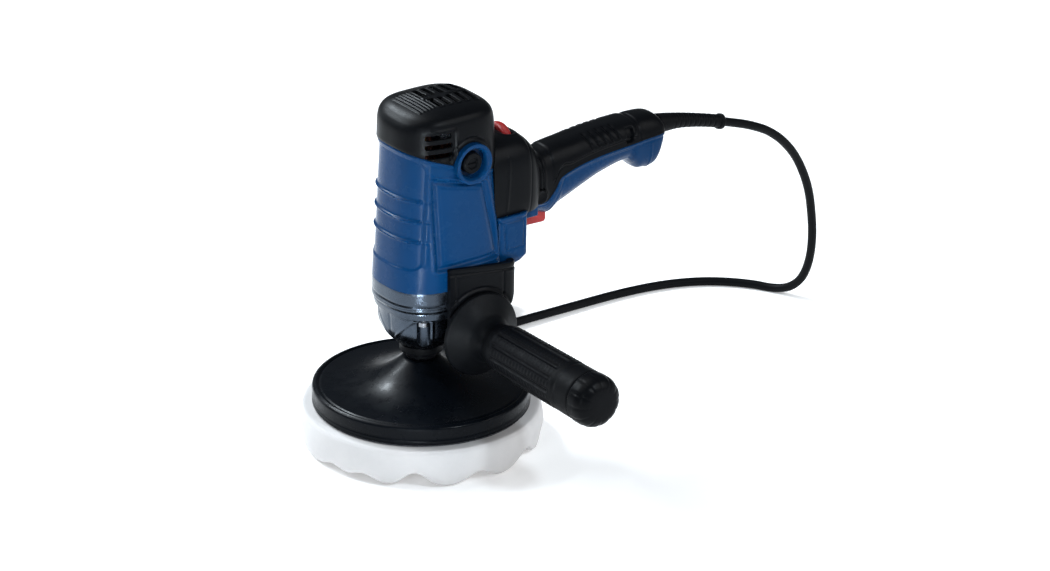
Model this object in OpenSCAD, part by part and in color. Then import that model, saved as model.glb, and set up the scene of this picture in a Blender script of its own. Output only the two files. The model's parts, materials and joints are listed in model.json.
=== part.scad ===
/* [Motor housing] */
// Half of the width across the flat side faces
body_half_w = 41; // [38:0.5:44]
// Distance from the spindle axis to the front of the motor housing
body_front = 37.5; // [32:0.5:38]
// Distance from the spindle axis to the back of the motor housing
body_back = 61; // [58:0.5:66]
// Wall thickness of the moulded shells
shell_t = 3; // [2:0.25:4]
// Distance between the motor axis and the spindle axis
motor_x = 21; // [19:0.5:23]
// Height of the brush caps and of the commutator
brush_z = 254.3; // [250:0.1:258]
// Height of the top of the cooling cover
top_z = 302.5; // [298:0.5:306]

/* [Gear head] */
// Height of the underside of the gear housing
head_z = 89; // [86:0.5:92]
// Height of the joint between the gear housing and the gear flange
flange_z = 132.5; // [131:0.5:134]
// Height of the joint between the gear flange and the motor housing
motor_z = 147; // [145:0.5:149]
// Module of the motor stage
module_1 = 0.9; // [0.85:0.05:0.95]
// Module of the spindle stage
module_2 = 1.25; // [1.2:0.05:1.3]
// Teeth of the motor pinion
motor_teeth = 8; // [7:1:9]
// Teeth of both driven gears
driven_teeth = 33; // [31:1:34]
// Teeth of the intermediate pinion
middle_teeth = 10; // [9:1:11]
// Tooth thinning on each gear, so that the pairs run with backlash
backlash = 0.14; // [0.1:0.02:0.2]

/* [Polishing set] */
// Diameter of the rubber backing pad
pad_d = 180; // [150:1:200]
// Diameter of the foam pad
foam_d = 198; // [160:1:210]
// Height of the foam pad
foam_h = 33.4; // [25:0.2:40]
// Thickness of the hook-and-loop disc
hook_t = 2; // [1.5:0.1:3]
// Height of the upright rim of the backing pad
rim_h = 14.5; // [10:0.5:18]
// Height of the top of the backing pad's hub
hub_top_z = 75.5; // [72:0.5:76]
// Diameter of the spindle collar
collar_d = 36; // [32:1:38]

/* [Side handle] */
// Distance of the side handle's axis behind the spindle axis
side_x = 24; // [20:0.5:28]
// Height of the side handle's axis
side_z = 106; // [104:0.5:108]
// Distance from the middle plane to the end of the side handle
side_reach = 216; // [190:1:230]
// Diameter of the side handle's hand guard
guard_d = 72; // [60:1:76]
// Diameter of the side handle's grip
grip_d = 40; // [36:0.5:44]
// Diameter of the side handle's thread
stud_d = 10; // [8:0.5:10]

/* [Rear handle] */
// Distance from the spindle axis to the end of the rear handle
handle_end = 241; // [236:1:250]
// Half of the width of the rear handle
handle_half_w = 19; // [17:0.5:21]

/* [Cord] */
// Diameter of the mains cord
cord_d = 7.6; // [6.5:0.1:8.5]
// Mean diameter of the stored coil
coil_d = 84; // [76:1:92]
// Turns beside each other in the coil
coil_wide = 3; // [2:1:3]
// Layers of turns in the coil
coil_high = 4; // [3:1:4]

/* [Hidden] */

BLUE = [0.03, 0.25, 0.5];
BLACK = [0.08, 0.08, 0.09];
RED = [0.75, 0.1, 0.1];
SILVER = [0.75, 0.76, 0.78];
STEEL = [0.6, 0.61, 0.63];
COPPER = [0.72, 0.42, 0.2];
BRASS = [0.78, 0.64, 0.3];

EPS = 0.01;
GAP = 0.3;          // space between parts that only meet
RUN = 0.05;         // radial clearance of a running fit
PRESSURE = 20;      // pressure angle of the gears
RING_N = 40;        // points around a lofted shell
plan_x = 10;        // where a body outline is widest

pad_top_z = foam_h + hook_t + rim_h;

// ---------- outlines and lofts ----------

function sgn_pow(v, e) = sign(v) * pow(abs(v), e);
function mix(a, b, t) = a + (b - a) * t;

// A closed outline around the Z axis: rounded in front, squarer at the back
function plan(front, back, half_w, xc = plan_x, pf = 2.6, pb = 4.5) = [
    for (i = [0:RING_N - 1])
        let (a = 360 * i / RING_N, c = cos(a), s = sin(a), p = c < 0 ? pf : pb,
            reach = c < 0 ? xc + front : back - xc)
        [xc + reach * sgn_pow(c, 2 / p), half_w * sgn_pow(s, 2 / p)]
];

function at_z(outline, z) = [for (p = outline) [p[0], p[1], z]];

// Skins a list of rings of points. A looped list closes on its first ring.
module skin(rings, looped = false) {
    n = len(rings[0]);
    m = len(rings);
    points = [for (r = rings) each r];
    sides = [
        for (k = [0:m - (looped ? 1 : 2)], i = [0:n - 1])
            let (j = (i + 1) % n, a = k * n, b = ((k + 1) % m) * n)
            each [[a + i, b + i, b + j], [a + i, b + j, a + j]]
    ];
    caps = looped ? [] : [
        [for (i = [0:n - 1]) i],
        [for (i = [n - 1:-1:0]) (m - 1) * n + i]
    ];
    polyhedron(points, concat(sides, caps));
}

// ---------- body outlines ----------

// Height of the joint between the blue housing and the black covers
function joint_z(x) = 257 - 0.35 * x;
// Height of the lower edge of the top cover, which turns up over the shoulder
function cover_edge_z(x) = max(joint_z(x), 205.3 + 0.8 * x);

// How the motor housing narrows from its foot, at 0, to its top edge, at 1
function body_plan(t, grow = 0) = plan(
    front = mix(body_front, body_front - 6.5, t) + grow,
    back = mix(body_back, body_back - 5, t) + grow,
    half_w = mix(body_half_w, body_half_w - 1.5, t) + grow,
    pb = mix(4.5, 3.3, t)
);

function body_ring(t, grow = 0) = [
    for (p = body_plan(t, grow)) [p[0], p[1], mix(motor_z, joint_z(p[0]), t)]
];

// Outer rings of the top cover, from its lower edge up: [height, front, back, half width, power]
cover_rows = [
    [270, 34, 56.6, 40.3, 2.8, 3.4],
    [284, 33.4, 56, 39.9, 2.9, 3.3],
    [290, 29.5, 55, 39, 3.2, 3.2],
    [294.5, 24.5, 52.5, 36.5, 3.4, 3.1],
    [298.5, 18, 47.5, 31, 3.4, 3],
    [300.7, 11, 42, 25, 3.2, 2.8],
    [302, 3, 34, 16, 2.8, 2.6],
    [top_z, -6, 25, 7, 2.4, 2.4]
];

// Rings of the cover, or of the space inside it when inset
function cover_rings(inset = 0) = [
    at_z(plan(34.4 - inset, 56.8 - inset, 40.6 - inset, plan_x, 2.6, 3.4), inset > 0 ? 225 : 230),
    for (r = cover_rows)
        at_z(plan(max(r[1] - inset, -7), r[2] - inset, max(3, r[3] - inset), plan_x, r[4], r[5]), r[0] - inset)
];
cover_turn_x = (257 - 205.3) / 1.15;    // where the cover's lower edge turns up

// Rings of the gear housing: [height, front, back, half width, widest x, front and back power]
head_rows = [
    [head_z, 17.5, 17.5, 17.5, 0, 2, 2],
    [head_z + 2.6, 22, 31, 25, 4, 2.2, 2.2],
    [99.3, 28.5, 46, 34, 8, 2.4, 2.6],
    [105.5, 32, 53, 37, plan_x, 2.6, 3.5],
    [121.6, 33.6, 56, 38.5, plan_x, 2.6, 4],
    [123, 36.3, 58, 40.5, plan_x, 2.6, 4.5],
    [flange_z, body_front, body_back, body_half_w, plan_x, 2.6, 4.5]
];

// ---------- gears ----------

function involute(a) = tan(a) - a * PI / 180;

// Half of the tooth angle, in degrees, at one radius
function half_tooth(m, z, shift, r) =
    let (pitch_r = m * z / 2, base_r = pitch_r * cos(PRESSURE),
        thick = m * (PI / 2 + 2 * shift * tan(PRESSURE)) - backlash,
        rho = max(r, base_r))
    (thick / (2 * pitch_r) + involute(PRESSURE) - involute(acos(min(1, base_r / rho)))) * 180 / PI;

// An involute gear outline with one tooth centred on +X
module gear_outline(m, z, shift, tip_r) {
    base_r = m * z / 2 * cos(PRESSURE);
    root_r = m * (z / 2 - 1.25 + shift);
    start_r = max(root_r, base_r);
    radii = concat(root_r < base_r ? [root_r] : [], [for (k = [0:5]) mix(start_r, tip_r, k / 5)]);
    last = len(radii) - 1;
    polygon([
        for (i = [0:z - 1])
            let (mid = 360 * i / z)
            each concat(
                [for (k = [0:last]) let (a = mid - half_tooth(m, z, shift, radii[k]))
                    radii[k] * [cos(a), sin(a)]],
                [for (k = [last:-1:0]) let (a = mid + half_tooth(m, z, shift, radii[k]))
                    radii[k] * [cos(a), sin(a)]]
            )
    ]);
}

shift_1 = 0.5;      // profile shift of the motor stage
shift_2 = 0.4;      // profile shift of the spindle stage
reach_1 = module_1 * (motor_teeth + driven_teeth) / 2;
reach_2 = module_2 * (middle_teeth + driven_teeth) / 2;
middle_x = (pow(reach_2, 2) - pow(reach_1, 2) + pow(motor_x, 2)) / (2 * motor_x);
middle_y = sqrt(pow(reach_2, 2) - pow(middle_x, 2));
spindle_to_middle = atan2(middle_y, middle_x);
middle_to_motor = atan2(-middle_y, motor_x - middle_x);
spindle_tip_r = module_2 * (driven_teeth / 2 + 1 - shift_2);
middle_tip_r = module_1 * (driven_teeth / 2 + 1 - shift_1);
middle_pinion_tip_r = module_2 * (middle_teeth / 2 + 1.3);
motor_pinion_tip_r = module_1 * (motor_teeth / 2 + 1.28);

spindle_gear_z = [107.5, 117.5];
lock_z = 120.5;                 // height of the spindle lock's pin
lock_hub_z = 123.2;             // top of the hub that the pin enters
lock_pin_r = 2.1;
middle_pinion_z = [106, 119.5];
middle_gear_z = [124.4, 131.6];
motor_pinion_z = [123, 133];

at_middle = [middle_x, middle_y, 0];
at_motor = [motor_x, 0, 0];
screw_spots = [[-19, -30], [-19, 30], [45, -31], [45, 31]];

// Bearing places: [low z, high z, outer radius, bore radius]
spindle_low = [92, 103, 17.5, 7.5];
spindle_high = [133.2, 141.2, 13, 5];
middle_low = [97, 102, 7.5, 3];
middle_high = [134, 141, 11, 4];
motor_low = [143, 151, 13, 5];
motor_high = [265, 272, 11, 4];

module tube(r, bore, z0, z1) {
    translate([0, 0, z0]) difference() {
        cylinder(r = r, h = z1 - z0, $fn = 96);
        translate([0, 0, -1]) cylinder(r = bore, h = z1 - z0 + 2, $fn = 96);
    }
}

module rod(r, z0, z1) translate([0, 0, z0]) cylinder(r = r, h = z1 - z0, $fn = 64);

module rod_at(p, r, z0, z1) translate([p[0], p[1], z0]) cylinder(r = r, h = z1 - z0, $fn = 48);

// A rod or a bore along Y, between two distances from the middle plane
module cross_rod(r, y0, y1, x, z) {
    translate([x, y0, z]) rotate([-90, 0, 0]) cylinder(r = r, h = y1 - y0, $fn = 64);
}

module block(lo, hi) translate(lo) cube(hi - lo);

// A ball bearing, drawn as its rings with the groove that the balls run in
module bearing(spot) {
    h = spot[1] - spot[0];
    mid_r = (spot[2] + spot[3]) / 2;
    color(STEEL) translate([0, 0, spot[0]]) difference() {
        cylinder(r = spot[2], h = h, $fn = 96);
        translate([0, 0, -1]) cylinder(r = spot[3] + RUN, h = h + 2, $fn = 96);
        for (z = [-1, h - 0.8])
            translate([0, 0, z]) difference() {
                cylinder(r = mid_r + 1.6, h = 1.8, $fn = 96);
                cylinder(r = mid_r - 1.6, h = 1.8, $fn = 96);
            }
    }
}

// ---------- motor housing and covers ----------

brush_boss_r = 17.2;
brush_bore_r = 12.5;
tower_r = 30;                   // inner wall that carries the upper motor bearing
tower_top_z = 274;

module brush_bosses() {
    for (side = [-1, 1])
        mirror([0, side > 0 ? 1 : 0, 0])
            cross_rod(brush_boss_r, -44.5, -tower_r + 4, motor_x, brush_z);
}

module motor_housing() {
    color(BLUE) difference() {
        union() {
            skin([
                for (t = [0, 0.35, 0.7, 1]) body_ring(t),
                for (t = [1, 0.7, 0.35, 0]) body_ring(t, -shell_t)
            ], looped = true);
            brush_bosses();
            translate(at_motor) {
                tube(tower_r, tower_r - shell_t, 232, tower_top_z);
                tube(tower_r, motor_high[3] + 4, 262.5, motor_high[0]);
                tube(motor_high[2] + 3, motor_high[2], motor_high[0] - EPS, tower_top_z);
            }
            difference() {
                skin([for (z = [229.5, 233]) at_z(body_plan(0.9, -1), z)]);
                translate(at_motor) rod(tower_r - shell_t, 229, 234);
                for (a = [75:30:285]) translate(at_motor) rotate(a) translate([33.6, 0, 229])
                    cylinder(r = 2.2, h = 5, $fn = 32);
            }
            for (p = screw_spots) rod_at(p, 4, motor_z, 160);
        }
        for (side = [-1, 1]) {
            mirror([0, side > 0 ? 1 : 0, 0]) {
                cross_rod(brush_bore_r, -46, -36.5, motor_x, brush_z);
                cross_rod(9.2, -40, -20, motor_x, brush_z);
            }
        }
        for (a = [0:45:315])
            translate(at_motor) rotate(a) translate([20, 0, 256])
                cylinder(r = 3.5, h = 12, $fn = 32);
        for (p = screw_spots) rod_at(p, 2, motor_z - 1, 158);
    }
}

// Slots through the top of the cover: two rows, one on each side of the middle rib
module top_slots() {
    for (side = [-1, 1], k = [0:4])
        block([3 + k * 8.4, side > 0 ? 2.6 : -19.5, top_z - 16], [7.6 + k * 8.4, side > 0 ? 19.5 : -2.6, top_z + 1]);
}

module side_louvres() {
    for (k = [0:2])
        block([-20, -46, 263.5 + k * 8], [4 - k, 46, 268 + k * 8]);
}

module top_cover() {
    color(BLACK) difference() {
        skin(cover_rings());
        skin(cover_rings(inset = shell_t));
        translate([0, 60, 0]) rotate([90, 0, 0]) linear_extrude(120) polygon(concat(
            [[-60, 220]],
            [for (x = [-60, cover_turn_x, 90]) [x, cover_edge_z(x) + GAP / 2]],
            [[90, 220]]
        ));
        top_slots();
        side_louvres();
        cross_rod(brush_boss_r + GAP, -60, 60, motor_x, brush_z);
    }
}

// Space taken by the motor housing, with a gap around it
module motor_space() {
    skin([for (t = [0, 0.35, 0.7, 1]) body_ring(t, GAP)]);
}

// Rings of the electronics housing: [height, back, half width]
rear_rows = [[150.5, 69, 29], [153, 73, 31], [161, 82, 33], [195, 82.5, 34.3]];

function rear_rings(inset) = [
    for (r = rear_rows)
        at_z(plan(-50 - inset, r[1] - inset, r[2] - inset, 62, 5, 9), r[0] + (r[0] < 195 ? inset : 1))
];

module rear_housing() {
    color(BLUE) difference() {
        skin([for (r = rear_rows) at_z(plan(-50, r[1], r[2], 62, 5, 9), r[0])]);
        skin(rear_rings(shell_t));
        motor_space();
    }
}

// An outline across the X axis: half width, lowest and highest point, squareness
function section(x, half_w, low, high, p = 3) = [
    for (i = [0:RING_N - 1])
        let (a = 360 * i / RING_N)
        [x, half_w * sgn_pow(cos(a), 2 / p), (low + high) / 2 + (high - low) / 2 * sgn_pow(sin(a), 2 / p)]
];

// Rings of the shoulder: [x, half width, low, high]
shoulder_rows = [
    [48, 34.5, 180, 259.5], [72, 34.5, 180, 259.5], [82, 34, 180, 258.2], [90, 32, 180, 253.5],
    [96, 28.5, 180, 247], [101, 24, 180, 238]
];
shoulder_low_z = 195 + GAP;
wheel_at = [76.8, 0, 247.6];
wheel_r = 14.5;
wheel_w = 8;
neck_x = 101;
neck_z = 190.5;                 // joint of the handle shells at the neck

// Space taken by the top cover at its back, with a gap around it
module cover_space() {
    intersection() {
        translate([0, 0, 230]) linear_extrude(60) polygon([
            for (p = plan(34.4 + GAP, 56.8 + GAP, 40.6 + GAP, plan_x, 2.6, 3.4)) [p[0], p[1]]
        ]);
        translate([0, 60, 0]) rotate([90, 0, 0]) linear_extrude(120)
            polygon([[40, 237], [72.3, 262.8], [72.3, 290], [40, 290]]);
    }
}

module shoulder_cover() {
    color(BLACK) difference() {
        union() {
            difference() {
                skin([for (r = shoulder_rows) section(r[0], r[1], r[2], r[3], 3.4)]);
                skin([for (r = shoulder_rows)
                    section(r[0] - 2.5, r[1] - shell_t, r[2], r[3] - shell_t, 3.4)]);
                block([neck_x - 4, -17, 196], [neck_x + 1, 17, 232]);
            }
            for (x = [68.5, 81.6]) block([x, -5, 240], [x + 3, 5, 257.8]);
        }
        block([40, -40, 170], [83, 40, shoulder_low_z]);
        block([82, -40, 170], [110, 40, neck_z + 1.5]);
        cover_space();
        block([wheel_at[0] - wheel_w / 2 - 0.7, -wheel_r - 1, 232], [wheel_at[0] + wheel_w / 2 + 0.7, wheel_r + 1, 270]);
        translate([60, 0, wheel_at[2]]) rotate([0, 90, 0]) cylinder(r = 2 + RUN, h = 30, $fn = 32);
        cross_rod(button_r + 0.5, -40, -8, button_at[0], button_at[1]);
        motor_space();
    }
}

// ---------- rear handle ----------

// Rings of the rear handle: [x, half width, lowest, highest]
handle_rows = [
    [neck_x + GAP, 20.5, 180, 231.5],
    [112, 19.5, 177.5, 232],
    [119, handle_half_w, 175.8, 233],
    [127, handle_half_w, 181, 233.8],
    [140, handle_half_w, 186.5, 235],
    [156, handle_half_w, 193.5, 236.8],
    [172, handle_half_w, 199.8, 238],
    [199, handle_half_w, 205.2, 238.5],
    [206, handle_half_w, 199.5, 239],
    [213, 18.5, 193.6, 239.4],
    [226, 18.5, 192.8, 238.6],
    [233, 18, 196, 236.2],
    [238, 17.5, 204, 232.5],
    [handle_end, 15, 212, 229]
];
// Joint between the two shells of the rear handle: [x, height]
handle_joint = [
    [80, neck_z], [112, neck_z], [120, 198], [127, 208.5], [140, 213.5], [156, 217],
    [172, 219], [199, 221], [226, 222.6], [250, 223]
];

module handle_body(inset = 0) {
    skin([
        for (k = [0:len(handle_rows) - 1])
            let (r = handle_rows[k], shift = k == 0 ? -1 : k == len(handle_rows) - 1 ? -shell_t : 0)
            section(r[0] + (inset > 0 ? shift : 0), r[1] - inset, r[2] + inset, r[3] - inset, 2.7)
    ]);
}

// Everything below the joint of the handle shells, or above it
module beside_joint(below, gap) {
    edge = [for (p = handle_joint) [p[0], p[1] + (below ? gap : -gap)]];
    translate([0, 60, 0]) rotate([90, 0, 0]) linear_extrude(120)
        polygon(concat([[80, below ? 150 : 260]], edge, [[250, below ? 150 : 260]]));
}

module handle_screw_space(r, z0, z1) {
    for (p = handle_screw_spots) translate([p[0], 0, z0]) cylinder(r = r, h = z1 - z0, $fn = 32);
}

handle_screw_spots = [[133, 190, 233], [180, 206, 236.5], [214, 199, 236]];  // [x, head seat, post top]
trigger_half_w = 7.5;
trigger_x = [87.5, 120];
trigger_pivot = [91, 187];
button_at = [104.6, 197.5];
button_r = 6.3;

module handle_upper_shell() {
    color(BLACK) difference() {
        union() {
            difference() {
                handle_body();
                handle_body(inset = shell_t);
                beside_joint(below = true, gap = GAP / 2);
            }
            for (p = handle_screw_spots) rod_at([p[0], 0], 4.2, 222, p[2]);
        }
        handle_screw_space(2, 200, 230);
        cross_rod(button_r + 0.3, -30, -10, button_at[0], button_at[1]);
        translate([handle_end - 6, 0, 224]) rotate([0, 90, 0]) cylinder(r = 9.2, h = 10, $fn = 64);
    }
}

// The lower shell, with the tray that closes the neck under the shoulder
module handle_lower_shell() {
    color(BLUE) difference() {
        union() {
            difference() {
                handle_body();
                handle_body(inset = shell_t);
                beside_joint(below = false, gap = GAP / 2);
            }
            difference() {
                block([83, -20, 181], [neck_x + 4, 20, neck_z]);
                block([86, -17, 184], [neck_x + 5, 17, neck_z + 1]);
            }
            for (s = [-1, 1])
                block([87, s * 10.2 - 1.8, 183], [95.5, s * 10.2 + 1.8, neck_z]);
            for (p = handle_screw_spots) rod_at([p[0], 0], 5, p[1], 219);
        }
        block([86.2, -trigger_half_w - 0.7, 170], [123.3, trigger_half_w + 0.7, 200]);
        cross_rod(2 + RUN, -12, 12, trigger_pivot[0], trigger_pivot[1]);
        handle_screw_space(2, 180, 225);
        for (p = handle_screw_spots) rod_at([p[0], 0], 3.8, 170, p[1] + 2);
        translate([handle_end - 6, 0, 224]) rotate([0, 90, 0]) cylinder(r = 9.2, h = 10, $fn = 64);
    }
}

module handle_screws() {
    color(STEEL) for (p = handle_screw_spots) difference() {
        union() {
            rod_at([p[0], 0], 1.95, p[1], 229);
            rod_at([p[0], 0], 3.6, p[1] - 2, p[1] + 2);
        }
        translate([p[0], 0, p[1] - 2.5]) cylinder(r = 1.6, h = 2.2, $fn = 6);
    }
}

module trigger() {
    color(RED) union() {
        translate([0, trigger_half_w, 0]) rotate([90, 0, 0]) linear_extrude(2 * trigger_half_w)
            polygon([
                [trigger_x[0], 190], [trigger_x[0], 171], [trigger_x[0] + 2, 169.3], [100, 168.2],
                [trigger_x[1] - 2, 167.5], [trigger_x[1], 169.5], [trigger_x[1], 190]
            ]);
        cross_rod(2, -11.5, 11.5, trigger_pivot[0], trigger_pivot[1]);
    }
}

module lock_on_button() {
    color(BLACK) difference() {
        union() {
            cross_rod(button_r, -22.5, -14, button_at[0], button_at[1]);
            cross_rod(3, -14 - EPS, -10.5, button_at[0], button_at[1]);
        }
        translate([button_at[0], -32.5, button_at[1]]) sphere(r = 10.8, $fn = 96);
    }
}

module speed_wheel() {
    color(RED) translate(wheel_at) rotate([0, 90, 0]) {
        difference() {
            translate([0, 0, -wheel_w / 2]) cylinder(r = wheel_r, h = wheel_w, $fn = 96);
            for (a = [0:15:345]) rotate(a) translate([wheel_r + 0.4, 0, -wheel_w])
                cylinder(r = 1.1, h = 2 * wheel_w, $fn = 24);
        }
        translate([0, 0, -8.2]) cylinder(r = 2, h = 16, $fn = 32);
    }
}

module switch_module() {
    color(BLACK) {
        block([88, -6.5, 197], [120, 6.5, 219]);
        block([108, -4, 193.5], [114, 4, 197]);
    }
}

module control_board() {
    color([0.1, 0.35, 0.2]) {
        block([66, -24, 157], [67.6, 24, 191]);
        for (y = [-18, -6, 6]) block([67.6, y, 162], [71, y + 8, 174]);
    }
}

module noise_capacitor() color([0.75, 0.75, 0.3]) block([71.5, -12, 176], [78, 12, 191]);

module cord_clamp() {
    color(BLACK) difference() {
        block([225, -11, 217], [234, 11, 228.6]);
        translate([220, 0, 224]) rotate([0, 90, 0]) cylinder(r = cord_d / 2, h = 20, $fn = 48);
        for (y = [-9, 9]) rod_at([229.5, y], 1.5, 210, 240);
    }
}

// ---------- gear head ----------

module head_screw_holes(r, z0, z1) {
    for (p = screw_spots) rod_at(p, r, z0, z1);
}

lock_stop_y = 31;               // floor of the lock button's bore
lock_cap_r = 6.3;
lock_rest_y = [40.5, 48];       // where the button's cap starts and ends at rest

module gear_housing() {
    color(SILVER) difference() {
        union() {
            skin([for (r = head_rows) at_z(plan(r[1], r[2], r[3], r[4], r[5], r[6]), r[0])]);
            for (s = [0, 1]) mirror([0, s, 0]) cross_rod(12, -46.3, -28, side_x, side_z);
            cross_rod(9.5, 28, 43, 0, lock_z);
        }
        translate([0, 0, 105]) cylinder(r = spindle_tip_r + 1.6, h = 40, $fn = 96);
        translate([0, 0, 103 - EPS]) cylinder(r = 14, h = 4, $fn = 96);
        tube_hole(spindle_low, [0, 0]);
        translate([0, 0, 80]) cylinder(r = 11.5, h = 20, $fn = 96);
        translate(at_middle) {
            translate([0, 0, 104.5]) cylinder(r = middle_pinion_tip_r + 1.5, h = 40, $fn = 96);
            translate([0, 0, 122.8]) cylinder(r = middle_tip_r + 1.3, h = 20, $fn = 96);
            translate([0, 0, 95.5]) cylinder(r = 4.5, h = 20, $fn = 96);
        }
        tube_hole(middle_low, [middle_x, middle_y]);
        translate([motor_x, 0, 121]) cylinder(r = motor_pinion_tip_r + 2, h = 20, $fn = 96);
        for (s = [0, 1]) mirror([0, s, 0]) cross_rod(stud_d / 2, -47, -31.5, side_x, side_z);
        cross_rod(lock_cap_r + 0.2, lock_stop_y, 50, 0, lock_z);
        cross_rod(lock_pin_r + 0.1, 10, 40, 0, lock_z);
        head_screw_holes(2.6, 110, 140);
        for (p = screw_spots) hull() {
            rod_at(p, 5.4, 80, 121);
            rod_at(p * 1.6, 8.6, 80, 121);
        }
    }
}

// The seat of a bearing, open at its top
module tube_hole(spot, p) {
    translate([p[0], p[1], spot[0]]) cylinder(r = spot[2], h = spot[1] - spot[0] + 6, $fn = 96);
}

module gear_flange() {
    color(SILVER) difference() {
        union() {
            skin([for (z = [flange_z + EPS, motor_z]) at_z(plan(body_front, body_back, body_half_w), z)]);
            rod_at(at_motor, 17, motor_z - EPS, motor_low[1] + 0.5);
        }
        rod_at([0, 0], spindle_high[2], 120, spindle_high[1]);
        rod_at([0, 0], 7, 120, spindle_high[1] + 1.5);
        rod_at(at_middle, middle_high[2], 120, middle_high[1]);
        rod_at(at_middle, 6, 120, middle_high[1] + 2);
        rod_at(at_motor, motor_low[2], motor_low[0], 170);
        rod_at(at_motor, 7, 120, 160);
        head_screw_holes(2.6, 120, 160);
    }
}

module gear_head_screws() {
    color(STEEL) for (p = screw_spots) difference() {
        union() {
            rod_at(p, 2.5, 121, motor_z - GAP);
            rod_at(p, 1.95, motor_z - GAP - EPS, 156);
            rod_at(p, 4.4, 117.5, 121);
        }
        translate([p[0], p[1], 117]) cylinder(r = 2.2, h = 2.8, $fn = 6);
    }
}

module gear_head_cover() {
    color(BLACK) difference() {
        skin([
            for (z = [108, 167]) at_z(plan(body_front + 4, body_back + 4, body_half_w + 4.5, pb = 10), z),
            for (z = [167, 108]) at_z(plan(body_front + 1, body_back + GAP, body_half_w + GAP, pb = 10), z)
        ], looped = true);
        block([-60, -60, 90], [-3, 60, 180]);
        block([50, -35.5, 149.8], [90, 35.5, 180]);
        translate([0, 60, 0]) rotate([90, 0, 0]) linear_extrude(120)
            polygon([[56, 100], [56, 116], [70, 144], [80, 144], [80, 100]]);
        translate([0, 60, 0]) rotate([90, 0, 0]) linear_extrude(120)
            polygon([[-10, 170.5], [-10, 166.5], [0, 167], [72, 157.5], [72, 170.5]]);
        cross_rod(12 + GAP, -60, 60, side_x, side_z);
        cross_rod(9.5 + GAP, 30, 60, 0, lock_z);
    }
}

module spindle_seal() color(BLACK) tube(11.4, 9.3, head_z + 0.4, 91.8);

module spindle_lock_button() {
    color(BLACK) {
        cross_rod(lock_cap_r, lock_rest_y[0], lock_rest_y[1], 0, lock_z);
        cross_rod(lock_pin_r, 16.2, lock_rest_y[0] + EPS, 0, lock_z);
    }
}

module spindle_lock_spring() {
    color(STEEL) translate([0, lock_stop_y + 0.2, lock_z]) rotate([-90, 0, 0]) difference() {
        cylinder(r = 4.6, h = lock_rest_y[0] - lock_stop_y - 0.4, $fn = 48);
        translate([0, 0, -1]) cylinder(r = 3.4, h = 20, $fn = 48);
    }
}

// ---------- spindle set ----------

module spindle() {
    color(STEEL) difference() {
        rotate_extrude($fn = 96) polygon([
            [0, 55], [6, 55], [7, 56], [7, 77], [10, 77], [10, 88.2], [9, 88.6], [9, 91.9], [7.5, 91.9],
            [7.5, 103.1], [9.5, 103.1], [9.5, spindle_gear_z[0]], [8.5, spindle_gear_z[0]],
            [8.5, lock_hub_z], [7.6, lock_hub_z], [7.6, lock_hub_z + 1.4], [8.5, lock_hub_z + 1.4],
            [8.5, 127], [6.5, 129], [6.5, 133.1], [5, 133.1], [5, 141.6], [0, 141.6]
        ]);
    }
}

module spindle_gear() {
    color(STEEL) difference() {
        union() {
            translate([0, 0, spindle_gear_z[0]]) rotate(spindle_to_middle)
                linear_extrude(spindle_gear_z[1] - spindle_gear_z[0])
                gear_outline(module_2, driven_teeth, -shift_2, spindle_tip_r);
            rod(15, spindle_gear_z[1] - EPS, lock_hub_z);
        }
        translate([0, 0, 100]) cylinder(r = 8.5, h = 40, $fn = 96);
        for (a = [0:30:330]) translate([0, 0, lock_z]) rotate(a) rotate([0, 90, 0])
            translate([0, 0, 10.6]) cylinder(r = lock_pin_r + 0.25, h = 10, $fn = 32);
    }
}

module spindle_ring() color(STEEL) tube(10.4, 7.6, lock_hub_z, lock_hub_z + 1.4);

module spindle_collar() {
    color(BLACK) difference() {
        rotate_extrude($fn = 96) polygon([
            [10, hub_top_z + 0.6], [13, hub_top_z + 0.6], [13.6, 77], [13.6, 80.6], [collar_d / 2 - 1, 80.6],
            [collar_d / 2, 81.6], [collar_d / 2, 87.4], [collar_d / 2 - 1, 88.4], [10, 88.4]
        ]);
    }
}

module pad_hub() {
    color(STEEL) difference() {
        rotate_extrude($fn = 96) polygon([
            [7, 50], [32, 50], [32, 53], [12.5, 53], [12.5, hub_top_z], [7, hub_top_z]
        ]);
    }
}

function bell_z(t) = pad_top_z + (hub_top_z - pad_top_z) * pow(t, 1.9);

module backing_pad() {
    bottom = foam_h + hook_t;
    r = pad_d / 2;
    color(BLACK) rotate_extrude($fn = 128) polygon(concat(
        [[8, bottom], [r - 1.2, bottom], [r, bottom + 1.2], [r, pad_top_z - 2.5]],
        [for (a = [30:30:90]) [r - 2.5 + 2.5 * cos(a), pad_top_z - 2.5 + 2.5 * sin(a)]],
        [for (k = [1:12]) [mix(r - 6, 15, k / 12), bell_z(k / 12)]],
        [[12.5, hub_top_z], [12.5, 53], [32, 53], [32, 50], [8, 50]]
    ));
}

module hook_disc() color(BLACK) tube(pad_d / 2 - 2, 8, foam_h, foam_h + hook_t);

module foam_pad() {
    r = foam_d / 2;
    color([0.95, 0.95, 0.95]) rotate_extrude($fn = 128) polygon([
        [0, 0], [r - 4, 0], [r - 0.8, 6], [r, 14], [r - 0.6, 26], [r - 3, foam_h], [0, foam_h]
    ]);
}

// ---------- intermediate shaft and motor ----------

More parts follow.
